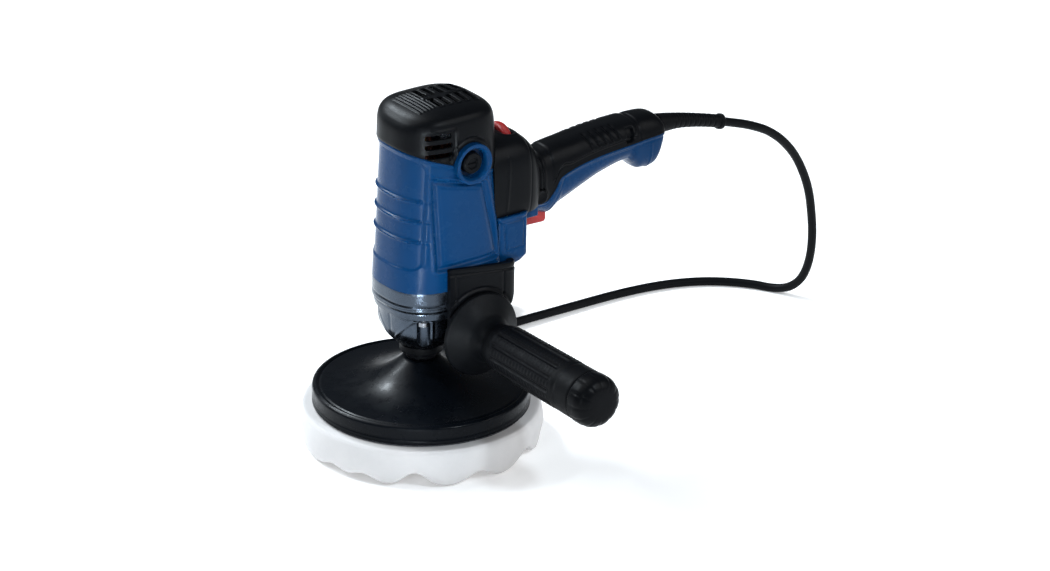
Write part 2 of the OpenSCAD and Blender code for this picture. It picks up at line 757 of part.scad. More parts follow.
module middle_shaft() {
    color(STEEL) translate(at_middle) {
        translate([0, 0, middle_pinion_z[0]]) rotate(spindle_to_middle + 180 + 180 / middle_teeth)
            linear_extrude(middle_pinion_z[1] - middle_pinion_z[0])
            gear_outline(module_2, middle_teeth, shift_2, middle_pinion_tip_r);
        rod(3, 96.5, middle_low[1] + 1);
        rod(4.5, middle_low[1] + 0.1, middle_pinion_z[0] + EPS);
        rod(4.5, middle_pinion_z[1] - EPS, middle_high[0] - 0.1);
        rod(4, middle_high[0] - 0.2, middle_high[1] + 0.6);
    }
}

module middle_gear() {
    color(STEEL) translate(at_middle) difference() {
        translate([0, 0, middle_gear_z[0]]) rotate(middle_to_motor)
            linear_extrude(middle_gear_z[1] - middle_gear_z[0])
            gear_outline(module_1, driven_teeth, -shift_1, middle_tip_r);
        translate([0, 0, 100]) cylinder(r = 4.5, h = 50, $fn = 64);
        for (a = [0:60:300]) rotate(a) translate([9.6, 0, 100]) cylinder(r = 1.9, h = 50, $fn = 32);
    }
}

module armature_shaft() {
    color(STEEL) translate(at_motor) {
        translate([0, 0, motor_pinion_z[0]]) rotate(middle_to_motor + 180 + 180 / motor_teeth)
            linear_extrude(motor_pinion_z[1] - motor_pinion_z[0])
            gear_outline(module_1, motor_teeth, shift_1, motor_pinion_tip_r);
        rod(4.6, motor_pinion_z[1] - EPS, motor_low[0] + EPS);
        rod(5, motor_low[0] - EPS, 263.5);
        rod(4, 263.5 - EPS, motor_high[1] + 0.5);
    }
}

core_z = [178, 222];
core_r = 21;

module armature_core() {
    color(STEEL) translate(at_motor) difference() {
        tube(core_r, 5, core_z[0], core_z[1]);
        for (a = [0:30:330]) rotate(a) {
            block([12, -2, core_z[0] - 1], [18.5, 2, core_z[1] + 1]);
            block([17, -0.8, core_z[0] - 1], [24, 0.8, core_z[1] + 1]);
        }
    }
}

module armature_windings() {
    color(COPPER) translate(at_motor)
        for (z = [[170, core_z[0]], [core_z[1], 238]])
            translate([0, 0, z[0]]) rotate_extrude($fn = 64) polygon([
                [5, 0], [15, 0], [18.5, 2.5], [18.5, z[1] - z[0] - 2.5], [15, z[1] - z[0]], [5, z[1] - z[0]]
            ]);
}

module commutator() {
    color(COPPER) translate(at_motor) difference() {
        union() {
            tube(13.5, 5, 244, 262.3);
            tube(15.2, 5, 241, 244.01);
        }
        for (a = [0:15:345]) rotate(a) block([12.6, -0.3, 245], [16, 0.3, 263]);
    }
}

fan_blades = 12;

module cooling_fan() {
    color(BLACK) translate(at_motor) difference() {
        union() {
            tube(33, 5, 162.5, 164.5);
            tube(10, 5, 153, 163);
            for (k = [0:fan_blades - 1]) rotate(360 / fan_blades * k)
                rotate([0, 0, 18]) block([9, -0.8, 154], [31.5, 0.8, 163]);
        }
        tube(40, 33, 150, 170);
    }
}

module stator_core() {
    color(STEEL) translate(at_motor) difference() {
        tube(32.3, 22, core_z[0], core_z[1]);
        for (s = [-1, 1])
            block([-12, s > 0 ? 20 : -29, core_z[0] - 1], [12, s > 0 ? 29 : -20, core_z[1] + 1]);
    }
}

module field_coils() {
    color(COPPER) translate(at_motor) {
        for (z = [[170, core_z[0] - GAP], [core_z[1] + GAP, 229]]) difference() {
            tube(31.5, 23.5, z[0], z[1]);
            for (s = [-1, 1]) block([-2, -1, z[0] - 1] + [s * 28, 0, 0], [2, 1, z[1] + 1] + [s * 28, 0, 0]);
        }
        for (s = [-1, 1])
            block([-11, s > 0 ? 23.7 : -28.5, core_z[0] - 1], [11, s > 0 ? 28.5 : -23.7, core_z[1] + 1]);
    }
}

module air_baffle() {
    color(BLACK) translate(at_motor) tube(35.5, 23, 165.6, 168.4);
}

// Brush gear on one side, built on the side of -Y
module on_side(left) mirror([0, left ? 1 : 0, 0]) children();

module brush_holder() {
    color(BRASS) difference() {
        block([motor_x - 5.2, -36.3, brush_z - 7], [motor_x + 5.2, -15.5, brush_z + 7]);
        block([motor_x - 3.9, -37, brush_z - 5.6], [motor_x + 3.9, -15, brush_z + 5.6]);
    }
}

module carbon_brush() {
    color([0.2, 0.2, 0.2]) block([motor_x - 3.8, -31, brush_z - 5.5], [motor_x + 3.8, -13.7, brush_z + 5.5]);
}

module brush_cap() {
    color(BLACK) difference() {
        cross_rod(8.7, -42.2, -36.6, motor_x, brush_z);
        block([motor_x - 6, -43, brush_z - 1.1], [motor_x + 6, -40.2, brush_z + 1.1]);
    }
}

// ---------- side handle ----------

module side_handle_stud() {
    color(STEEL) cross_rod(stud_d / 2, -84, -32, side_x, side_z);
}

side_end_y = side_reach - 20;   // where the end cap starts

module side_handle_lathe(points) {
    translate([side_x, 0, side_z]) rotate([90, 0, 0]) rotate_extrude($fn = 96) polygon(points);
}

module side_handle_grip() {
    r = grip_d / 2;
    g = guard_d / 2;
    color(BLACK) difference() {
        side_handle_lathe([
            [0, 46.6], [g - 4, 46.6], [g - 1, 47.4], [g, 49.4], [g - 0.8, 51.6], [g - 4, 53.5], [27, 57],
            [20.5, 62], [17, 68], [16.5, 74], [18.5, 79], [r, 84], [r + 0.4, 130], [r + 1.4, 180],
            [r + 1, side_end_y], [0, side_end_y]
        ]);
        cross_rod(stud_d / 2, -84, -40, side_x, side_z);
        translate([side_x, 0, side_z]) rotate([90, 0, 0])
            for (a = [0:30:330]) rotate(a) translate([r + 1.5, 0, 88]) cylinder(r = 1.6, h = 82, $fn = 24);
    }
}

module side_handle_end() {
    r = grip_d / 2 + 1;
    color(BLACK) side_handle_lathe(concat(
        [[0, side_end_y + EPS], [r - 0.6, side_end_y + EPS], [r, side_end_y + 0.8]],
        [for (a = [0:15:75]) [r - 12 + 12 * cos(a), side_reach - 12 + 12 * sin(a)]],
        [[r - 12, side_reach], [0, side_reach]]
    ));
}

// ---------- cord ----------

// Strain relief: [x, height, radius]
boot_rows = [
    [238.2, 224.6, 8.6], [245, 224, 8], [258, 222.6, 6.9], [272, 220, 6.2], [290, 215.6, 5.8],
    [305, 211.2, 5.7], [305.2, 211.1, 6.8], [308, 210.3, 6.8]
];
boot_angle = -17;

module cord_boot() {
    color(BLACK) skin([
        for (k = [0:len(boot_rows) - 1])
            let (r = boot_rows[k], tilt = boot_angle * min(1, (r[0] - 238) / 60))
            [for (i = [0:23]) let (a = 15 * i)
                [r[0] - r[2] * sin(a) * sin(tilt), r[2] * cos(a), r[1] + r[2] * sin(a) * cos(tilt)]]
    ]);
}

coil_at = [157, 182];
coil_low_z = 1.3;
coil_h = cord_d * coil_high;
coil_half_w = cord_d * coil_wide / 2;

// Route of the cord from the strain relief to the coil
lead_route = [
    [308, 0, 210.3], [320, 0, 206.4], [334, 0, 201.6], [347, 0, 196], [360, 1, 189], [375, 2, 177.5],
    [390, 4, 161.5], [403, 7, 142], [414, 10.5, 119], [422, 15, 94], [428, 20, 68], [431.5, 27, 43],
    [432, 37, 22], [429, 50, 9], [423, 65, 3.9], [413, 81, 3.9], [399, 97, 3.9], [381, 111, 3.9],
    [359, 121.5, 3.9], [332, 128.5, 3.9], [300, 132, 4], [265, 132.6, 4.3], [230, 132.4, 4.8],
    [195, 132.4, 5.1], [157, 132.4, 5.1]
];
// Route from the coil to the plug
tail_route = [
    [132.2, 225, 27.9], [141, 230.2, 27.2], [149.5, 235.6, 24.6], [157.5, 241.3, 20.6], [165.5, 247.6, 16.6],
    [173, 254.4, 13.8], [180.5, 261.4, 13]
];

function unit(v) = v / norm(v);
function tangent(route, k) =
    unit(route[min(k + 1, len(route) - 1)] - route[max(k - 1, 0)]);

// A point on a smooth curve through the route, at s points from its start
function on_route(route, s) =
    let (n = len(route), k = min(floor(s), n - 2), t = s - k,
        p0 = route[max(k - 1, 0)], p1 = route[k], p2 = route[k + 1], p3 = route[min(k + 2, n - 1)])
    0.5 * (2 * p1 + (p2 - p0) * t + (2 * p0 - 5 * p1 + 4 * p2 - p3) * t * t
        + (3 * p1 - p0 - 3 * p2 + p3) * t * t * t);

// A round tube along a route, with its rings square to the way it runs
module cord_tube(route, rings) {
    n = 8;
    last = len(route) - 1;
    path = [for (k = [0:rings]) on_route(route, last * k / rings)];
    skin([
        for (k = [0:rings])
            let (d = tangent(path, k), side = unit(cross([0, 0, 1], d)), up = cross(d, side))
            [for (i = [0:n - 1]) let (a = 360 * i / n)
                path[k] + cord_d / 2 * (cos(a) * side + sin(a) * up)]
    ]);
}

module power_cord() {
    color(BLACK) {
        cord_tube(lead_route, 56);
        cord_tube(tail_route, 12);
    }
}

module cord_coil() {
    color(BLACK) translate([coil_at[0], coil_at[1], coil_low_z])
        rotate_extrude($fn = 96) translate([coil_d / 2 - coil_half_w, 0]) square([2 * coil_half_w, coil_h]);
}

tie_w = 12;
tie_t = 1;
tie_slack = 0.8;                // room for the curve of the turns inside the tie

module cord_tie() {
    color(BLACK) translate([coil_at[0] + coil_d / 2, coil_at[1], coil_low_z]) difference() {
        block([-coil_half_w - tie_t - tie_slack, -tie_w / 2, -tie_t - GAP / 2],
            [coil_half_w + tie_t + GAP, tie_w / 2, coil_h + tie_t + GAP]);
        block([-coil_half_w - tie_slack, -tie_w, -GAP / 2], [coil_half_w + GAP, tie_w, coil_h + GAP]);
    }
}

plug_at = [180, 261, 13];
plug_turn = 43;

module at_plug() translate(plug_at) rotate(plug_turn) rotate([0, 90, 0]) children();

module plug_body() {
    color(BLACK) at_plug() intersection() {
        rotate_extrude($fn = 64) polygon([
            [0, 0], [5.5, 0], [6.5, 16], [10, 20], [17, 26], [18.5, 34], [18.5, 52], [0, 52]
        ]);
        translate([-12.8, -20, -1]) cube([25.6, 40, 60]);
    }
}

module plug_pins() {
    color(BRASS) at_plug() for (s = [-1, 1])
        translate([0, s * 9.5, 52]) {
            cylinder(r = 2.4, h = 17, $fn = 32);
            translate([0, 0, 17 - EPS]) cylinder(r1 = 2.4, r2 = 1.4, h = 2, $fn = 32);
        }
}

motor_housing();
top_cover();
rear_housing();
shoulder_cover();
handle_upper_shell();
handle_lower_shell();
handle_screws();
gear_housing();
gear_flange();
gear_head_screws();
gear_head_cover();
bearing(spindle_low);  // spindle_lower_bearing
bearing(spindle_high);  // spindle_upper_bearing
spindle_seal();
translate(at_middle) bearing(middle_low);  // middle_lower_bearing
translate(at_middle) bearing(middle_high);  // middle_upper_bearing
translate(at_motor) bearing(motor_low);  // motor_lower_bearing
translate(at_motor) bearing(motor_high);  // motor_upper_bearing
stator_core();
field_coils();
air_baffle();
on_side(true) brush_holder();  // brush_holder_left
on_side(false) brush_holder();  // brush_holder_right
on_side(true) carbon_brush();  // carbon_brush_left
on_side(false) carbon_brush();  // carbon_brush_right
on_side(true) brush_cap();  // brush_cap_left
on_side(false) brush_cap();  // brush_cap_right
control_board();
noise_capacitor();
switch_module();
cord_clamp();
cord_boot();
power_cord();
cord_coil();
cord_tie();
plug_body();
plug_pins();
side_handle_stud();
side_handle_grip();
side_handle_end();
spindle();
spindle_gear();
spindle_ring();
spindle_collar();
pad_hub();
backing_pad();
hook_disc();
foam_pad();
middle_shaft();
middle_gear();
armature_shaft();
armature_core();
armature_windings();
commutator();
cooling_fan();
trigger();
lock_on_button();
speed_wheel();
spindle_lock_button();
spindle_lock_spring();
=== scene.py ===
import json
import math

import bmesh
import bpy
import numpy as np
from mathutils import Matrix, Vector


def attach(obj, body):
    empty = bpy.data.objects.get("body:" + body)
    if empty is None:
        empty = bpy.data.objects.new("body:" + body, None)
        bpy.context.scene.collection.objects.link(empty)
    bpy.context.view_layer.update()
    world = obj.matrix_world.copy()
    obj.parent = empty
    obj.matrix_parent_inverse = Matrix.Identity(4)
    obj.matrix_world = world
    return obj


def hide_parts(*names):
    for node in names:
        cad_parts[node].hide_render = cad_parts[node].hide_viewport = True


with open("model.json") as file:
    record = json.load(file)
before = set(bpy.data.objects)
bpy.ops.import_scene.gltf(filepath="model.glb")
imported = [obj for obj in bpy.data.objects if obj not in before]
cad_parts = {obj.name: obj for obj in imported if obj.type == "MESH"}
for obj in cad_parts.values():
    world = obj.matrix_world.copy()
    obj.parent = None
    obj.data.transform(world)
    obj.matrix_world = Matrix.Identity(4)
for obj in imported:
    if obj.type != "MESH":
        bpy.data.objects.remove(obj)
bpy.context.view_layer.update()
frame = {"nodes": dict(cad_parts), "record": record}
NODES = frame["nodes"]
MM = 0.001
TAU = 2 * math.pi


def link(name, item):
    """Puts a mesh, curve, light or camera into the scene."""
    obj = bpy.data.objects.new(name, item)
    bpy.context.scene.collection.objects.link(obj)
    return obj


# ---- camera

CAMERA_AT = (-2.2709, -3.2345, 1.8971)
CAMERA_LOOK = (0.5408, 0.7363, -0.4067)
CAMERA_ROLL = math.radians(0.64)
CAMERA_LENS = 181.7
CAMERA_SENSOR = 36
CAMERA_FAR = 30


def make_camera():
    """A long lens at the photograph's viewing angle, rolled a little about its own axis."""
    look = Vector(CAMERA_LOOK).normalized()
    right = look.cross(Vector((0, 0, 1))).normalized()
    up = right.cross(look)
    x_axis = right * math.cos(CAMERA_ROLL) + up * math.sin(CAMERA_ROLL)
    y_axis = up * math.cos(CAMERA_ROLL) - right * math.sin(CAMERA_ROLL)
    data = bpy.data.cameras.new("camera")
    data.sensor_width = CAMERA_SENSOR
    data.lens = CAMERA_LENS
    data.clip_end = CAMERA_FAR
    camera = link("camera", data)
    matrix = Matrix((x_axis, y_axis, -look)).transposed().to_4x4()
    matrix.translation = CAMERA_AT
    camera.matrix_world = matrix
    bpy.context.scene.camera = camera


make_camera()


# ---- mesh tools

def angles(n):
    """Directions that are evenly spread round a circle."""
    return np.linspace(0, TAU, n, endpoint=False)


def spans(*parts):
    """Numbers that are evenly spread over each of several (from, to, count) parts."""
    return np.concatenate([np.linspace(*part) for part in parts])


def power(v, exponent):
    """A power that keeps the sign."""
    return np.sign(v) * np.abs(v) ** exponent


def mesh_object(verts, faces):
    """A mesh from points in millimetres."""
    mesh = bpy.data.meshes.new("part")
    mesh.from_pydata([tuple(v) for v in np.asarray(verts, float) * MM], [], faces)
    mesh.update()
    return link("part", mesh)


def from_bmesh(bm):
    """An object from a bmesh, which is freed."""
    mesh = bpy.data.meshes.new("part")
    bm.to_mesh(mesh)
    bm.free()
    return link("part", mesh)


def crisp(obj, degrees=32):
    """Smooth shading, with the edges above an angle left sharp."""
    bm = bmesh.new()
    bm.from_mesh(obj.data)
    bmesh.ops.remove_doubles(bm, verts=bm.verts, dist=1e-6)
    bmesh.ops.dissolve_degenerate(bm, edges=bm.edges, dist=1e-6)
    bmesh.ops.recalc_face_normals(bm, faces=bm.faces)
    limit = math.radians(degrees)
    for f in bm.faces:
        f.smooth = True
    for e in bm.edges:
        e.smooth = e.is_manifold and e.calc_face_angle(0) < limit
    bm.to_mesh(obj.data)
    bm.free()
    obj.data.validate()
    obj.data.update()
    return obj


def grid_faces(rows, cols, closed=True, looped=False):
    """Faces over a grid: closed joins its last column to the first, and looped its last row."""
    faces = []
    for a in range(rows if looped else rows - 1):
        low, high = a * cols, (a + 1) % rows * cols
        for i in range(cols if closed else cols - 1):
            j = (i + 1) % cols
            faces.append((low + i, low + j, high + j, high + i))
    return faces


def loft(grid):
    """A closed skin over rows of rings, in millimetres."""
    rows, cols = grid.shape[:2]
    faces = grid_faces(rows, cols)
    faces.append(tuple(range(cols))[::-1])
    faces.append(tuple((rows - 1) * cols + i for i in range(cols)))
    return mesh_object(grid.reshape(-1, 3), faces)


def normals(grid):
    """Outward unit normals of a grid of rings that run anticlockwise and rise."""
    du = np.roll(grid, -1, 1) - np.roll(grid, 1, 1)
    dv = np.gradient(grid, axis=0)
    n = np.cross(du, dv)
    return n / np.maximum(np.linalg.norm(n, axis=2, keepdims=True), 1e-9)


def raised(grid, relief):
    """Rings moved outwards by a relief in millimetres."""
    return grid + relief[..., None] * normals(grid)


def hollow(outer, inner, open_top=True):
    """A skin of rings with another inside it. The bottom is open, and the top is open or has a lid."""
    rows, cols = outer.shape[:2]
    shift, last = rows * cols, (rows - 1) * cols
    faces = grid_faces(rows, cols)
    faces += [tuple(i + shift for i in f)[::-1] for f in faces]
    for i in range(cols):
        j = (i + 1) % cols
        faces.append((j, i, i + shift, j + shift))
        if open_top:
            faces.append((last + i, last + j, last + j + shift, last + i + shift))
    if not open_top:
        lid = tuple(last + i for i in range(cols))
        faces += [lid, tuple(i + shift for i in lid)[::-1]]
    return mesh_object(np.concatenate([outer, inner]).reshape(-1, 3), faces)


def shell(grid, wall):
    """An open tube of rings with a wall thickness."""
    inner = grid - wall * normals(grid)
    inner[0, :, 2], inner[-1, :, 2] = grid[0, :, 2], grid[-1, :, 2]
    return hollow(grid, inner)


def turned(points, steps):
    """Rings about Z from [radius, height] pairs, and the directions of their points."""
    pts = np.array(points, float)
    a = angles(steps)
    return np.stack([pts[:, :1] * np.cos(a), pts[:, :1] * np.sin(a), np.repeat(pts[:, 1:2], steps, 1)], 2), a


def radius_of(grid):
    return np.hypot(grid[..., 0], grid[..., 1])


def lathe(points, steps=96, looped=False, relief=None):
    """A turned shape about Z from [radius, height] pairs, whose profile may be a loop."""
    grid, a = turned(points, steps)
    if relief is not None:
        grid = relief(grid, a)
    if looped:
        return mesh_object(grid.reshape(-1, 3), grid_faces(len(points), steps, looped=True))
    return loft(grid)


def drawn_in(grid, cut):
    """Points of a turned shape moved towards the Z axis by a cut."""
    scale = 1 - cut / np.maximum(radius_of(grid), 4)
    return grid * np.stack([scale, scale, np.ones_like(scale)], 2)


def rounded(points, radius=0.6, steps=4, looped=False):
    """A profile with its corners rounded, so that turned edges catch the light."""
    pts = [np.array(p, float) for p in points]
    out = []
    last = len(pts) - 1
    for k, p in enumerate(pts):
        if not looped and k in (0, last):
            out.append(p)
            continue
        a, b = pts[k - 1] - p, pts[(k + 1) % len(pts)] - p
        la, lb = np.linalg.norm(a), np.linalg.norm(b)
        r = min(radius, 0.45 * la, 0.45 * lb)
        pa, pb = p + a / la * r, p + b / lb * r
        for s in np.linspace(0, 1, steps + 1):
            out.append((1 - s) ** 2 * pa + 2 * s * (1 - s) * p + s ** 2 * pb)
    return out


def ring(r_in, r_out, lo, hi, edge=0.6):
    """A ring about Z with rounded edges."""
    return lathe(rounded([[r_in, lo], [r_out, lo], [r_out, hi], [r_in, hi]], edge, 3, True), looped=True)


def rod(r, lo, hi, steps=96, edge=0.1):
    """A bar about Z with rounded edges."""
    return lathe(rounded([[0.01, lo], [r, lo], [r, hi], [0.01, hi]], edge), steps)


def place(obj, matrix):
    obj.data.transform(matrix)
    obj.data.update()
    return obj


def along_y(x, z, sign=-1):
    """Turns a shape made about +Z so that it runs along Y, away from the middle plane."""
    return Matrix.Translation((x * MM, 0, z * MM)) @ Matrix.Rotation(math.radians(-90 * sign), 4, "X")


def along_x(x, y, z):
    return Matrix.Translation((x * MM, y * MM, z * MM)) @ Matrix.Rotation(math.radians(90), 4, "Y")


def slab(lo, hi, round_r=0.0, steps=3):
    """A box between two corners, in millimetres, with rounded edges."""
    lo, hi = np.array(lo, float), np.array(hi, float)
    bm = bmesh.new()
    bmesh.ops.create_cube(bm, size=1)
    for v in bm.verts:
        v.co = Vector((lo + (np.array(v.co) + 0.5) * (hi - lo)) * MM)
    if round_r:
        edges = list(bm.edges)
        bmesh.ops.bevel(bm, geom=edges, offset=round_r * MM, segments=steps, profile=0.5, affect="EDGES")
    return from_bmesh(bm)


def prism(outline, lo, hi, axis="y"):
    """An outline of [x, z] points pushed along Y, or of [x, y] points pushed along Z."""
    n = len(outline)
    if axis == "y":
        verts = [(x, h, z) for h in (lo, hi) for x, z in outline]
    else:
        verts = [(x, y, h) for h in (lo, hi) for x, y in outline]
    faces = [tuple(range(n)), tuple(range(2 * n - 1, n - 1, -1))]
    faces += [(i, i + n, (i + 1) % n + n, (i + 1) % n) for i in range(n)]
    obj = mesh_object(verts, faces)
    bm = bmesh.new()
    bm.from_mesh(obj.data)
    bmesh.ops.recalc_face_normals(bm, faces=bm.faces)
    bm.to_mesh(obj.data)
    bm.free()
    return obj


def join(objs):
    """One object from several, which are removed."""
    bm = bmesh.new()
    for o in objs:
        bm.from_mesh(o.data)
        bpy.data.objects.remove(o)
    return from_bmesh(bm)


def applied(obj):
    """Turns an object's modifiers into its mesh."""
    mesh = bpy.data.meshes.new_from_object(obj.evaluated_get(bpy.context.evaluated_depsgraph_get()))
    obj.modifiers.clear()
    obj.data = mesh
    return obj


def boolean(obj, cutters, how="DIFFERENCE", keep=False):
    """Cuts or trims obj with the cutters, which are removed unless they are kept."""
    cutters = cutters if isinstance(cutters, list) else [cutters]
    for c in cutters:
        m = obj.modifiers.new("cut", "BOOLEAN")
        m.operation = how
        m.solver = "MANIFOLD"
        m.object = c
    applied(obj)
    if not keep:
        for c in cutters:
            bpy.data.objects.remove(c)
    return obj


def bevel(obj, width, steps, degrees):
    m = obj.modifiers.new("bevel", "BEVEL")
    m.width = width * MM
    m.segments = steps
    m.limit_method = "ANGLE"
    m.angle_limit = math.radians(degrees)
    return applied(obj)


def step(lo, hi, v):
    """Rises smoothly from 0 at lo to 1 at hi, or falls where hi is the lower one."""
    t = np.clip((v - lo) / (hi - lo), 0, 1)
    return t * t * (3 - 2 * t)


def bell(v, width):
    """A smooth bump of height 1 about v = 0."""
    return np.exp(-(v / width) ** 2)


def mix(a, b, t):
    return a + (b - a) * t


def table(rows, x, smooth=True):
    """Rows of [key, values...] read at x, with a smooth curve that doesn't overshoot."""
    rows = np.array(rows, float)
    k, v = rows[:, 0], rows[:, 1:]
    x = np.clip(np.asarray(x, float), k[0], k[-1])
    i = np.clip(np.searchsorted(k, x, side="right") - 1, 0, len(k) - 2)
    h = np.diff(k)
    t = ((x - k[i]) / h[i])[..., None]
    if not smooth:
        return v[i] * (1 - t) + v[i + 1] * t
    d = np.diff(v, axis=0) / h[:, None]
    m = np.zeros_like(v)
    m[0], m[-1] = d[0], d[-1]
    for j in range(1, len(k) - 1):
        same = d[j - 1] * d[j] > 0
        w1, w2 = 2 * h[j] + h[j - 1], h[j] + 2 * h[j - 1]
        with np.errstate(divide="ignore", invalid="ignore"):
            hm = (w1 + w2) / (w1 / d[j - 1] + w2 / d[j])
        m[j] = np.where(same, hm, 0)
    hh = h[i][..., None]
    return (
        (2 * t ** 3 - 3 * t ** 2 + 1) * v[i] + (t ** 3 - 2 * t ** 2 + t) * hh * m[i]
        + (-2 * t ** 3 + 3 * t ** 2) * v[i + 1] + (t ** 3 - t ** 2) * hh * m[i + 1]
    )


# ---- outlines shared with the CAD

BODY_X = 10
BODY_Z = 147
BODY_FOOT = (37.5, 61, 41)
BODY_HEAD = (31, 56, 39.5)
MOTOR_X, BRUSH_Z = 21, 254.3
SIDE_X, SIDE_Z = 24, 106
LOCK_X, LOCK_Z = 0, 120.5
BUTTON_X, BUTTON_Z = 104.6, 197.5
WHEEL_X, WHEEL_Z = 76.8, 247.6
TRIGGER_X, TRIGGER_Z = 91, 187


def joint_z(x):
    """Height of the slanted joint between the motor housing and the cooling cover."""
    return 257 - 0.35 * x


def cover_edge_z(x):
    return np.maximum(joint_z(x), 205.3 + 0.8 * x)


def reach(phi, front, back, half, xc=BODY_X, pf=2.6, pb=4.5):
    """Distance from the outline's centre to the outline, in direction phi."""
    c, s = np.cos(phi), np.sin(phi)
    a = np.where(c < 0, xc + front, back - xc)
    p = np.where(c < 0, pf, pb)
    return (np.abs(c / a) ** p + np.abs(s / half) ** p) ** (-1 / p)


def even_angles(n, *shape):
    """Directions that lie evenly along an outline."""
    phi = np.linspace(0, TAU, 4001)
    r = reach(phi, *shape)
    d = np.hypot(np.diff(r * np.cos(phi)), np.diff(r * np.sin(phi)))
    s = np.concatenate([[0], np.cumsum(d)])
    return np.interp(np.linspace(0, s[-1], n, endpoint=False), s, phi)


def ring_grid(rows, phi):
    """Rings from [z, front, back, half, xc, pf, pb] rows."""
    out = []
    for z, front, back, half, xc, pf, pb in rows:
        r = reach(phi, front, back, half, xc, pf, pb)
        out.append(np.stack([xc + r * np.cos(phi), r * np.sin(phi), np.full_like(phi, z)], 1))
    return np.array(out)


def body_grid(phi, t, grow=0.0):
    """The motor housing's skin, from its foot at t = 0 to its slanted top edge at t = 1."""
    t = np.asarray(t)[:, None]
    shape = [mix(foot, head, t) + grow for foot, head in zip(BODY_FOOT, BODY_HEAD)]
    r = reach(phi[None], *shape, pb=mix(4.5, 3.3, t))
    x, y = BODY_X + r * np.cos(phi), r * np.sin(phi)
    return np.stack([x, y, mix(BODY_Z, joint_z(x), t)], 2)


def section_grid(rows, n, p=2.7):
    """Rings across X from [x, half width, low, high] rows."""
    a = np.linspace(0, TAU, 2001)
    out = []
    for x, w, lo, hi in rows:
        c, s = np.cos(a), np.sin(a)
        y = w * power(c, 2 / p)
        z = (lo + hi) / 2 + (hi - lo) / 2 * power(s, 2 / p)
        d = np.concatenate([[0], np.cumsum(np.hypot(np.diff(y), np.diff(z)))])
        at = np.linspace(0, d[-1], n, endpoint=False)
        out.append(np.stack([np.full(n, x), np.interp(at, d, y), np.interp(at, d, z)], 1))
    return np.array(out)


# ---- cord

CORD_D = 7.6
COIL_X, COIL_Y, COIL_LOW = 157, 182, 1.3
COIL_MEAN, COIL_WIDE, COIL_HIGH = 42, 3, 4
COIL_END = 150 / 360
LEAD = [
    [308, 0, 210.3], [320, 0, 206.4], [334, 0, 201.6], [347, 0, 196], [360, 1, 189], [375, 2, 177.5],
    [390, 4, 161.5], [403, 7, 142], [414, 10.5, 119], [422, 15, 94], [428, 20, 68], [431.5, 27, 43],
    [432, 37, 22], [429, 50, 9], [423, 65, 3.9], [413, 81, 3.9], [399, 97, 3.9], [381, 111, 3.9],
    [359, 121.5, 3.9], [332, 128.5, 3.9], [300, 132, 4], [265, 132.6, 4.3], [230, 132.4, 4.8],
    [195, 132.4, 5.1], [157, 132.4, 5.1],
]
TAIL = [
    [132.2, 225, 27.9], [141, 230.2, 27.2], [149.5, 235.6, 24.6], [157.5, 241.3, 20.6], [165.5, 247.6, 16.6],
    [173, 254.4, 13.8], [180.5, 261.4, 13],
]


def coil_route(per_turn=24):
    """Turns that lie beside and on each other, from the outer bottom turn to the outer top one."""
    offsets = [COIL_MEAN + CORD_D * (1 - k) for k in range(COIL_WIDE)]
    turns = []
    for layer in range(COIL_HIGH):
        order = offsets if layer % 2 == 0 else offsets[::-1]
        turns += [(r, COIL_LOW + CORD_D * (layer + 0.5)) for r in order]
    whole = len(turns) - 1 + COIL_END
    out = []
    for s in np.linspace(0, whole, int(whole * per_turn) + 1):
        k = min(int(s), len(turns) - 1)
        nxt = turns[min(k + 1, len(turns) - 1)]
        w = float(step(0.78, 1.0, s - k))
        r, z = mix(turns[k][0], nxt[0], w), mix(turns[k][1], nxt[1], w)
        a = math.radians(-90 - 360 * s)
        out.append([COIL_X + r * math.cos(a), COIL_Y + r * math.sin(a), z])
    return out


def make_cord():
    route = LEAD[:-1] + coil_route() + TAIL[1:]
    curve = bpy.data.curves.new("power_cord", "CURVE")
    curve.dimensions = "3D"
    curve.bevel_depth = CORD_D / 2 * MM
    curve.bevel_resolution = 5
    curve.resolution_u = 4
    curve.use_fill_caps = True
    spline = curve.splines.new("BEZIER")
    spline.bezier_points.add(len(route) - 1)
    pts = [Vector(p) * MM for p in route]
    for k, b in enumerate(spline.bezier_points):
        before, after = pts[max(k - 1, 0)], pts[min(k + 1, len(pts) - 1)]
        way = (after - before).normalized()
        b.co = pts[k]
        b.handle_left_type = b.handle_right_type = "FREE"
        b.handle_left = pts[k] - way * (pts[k] - before).length / 3
        b.handle_right = pts[k] + way * (after - pts[k]).length / 3
    return link("power_cord.visual", curve), route


cord, cord_route = make_cord()


# ---- materials

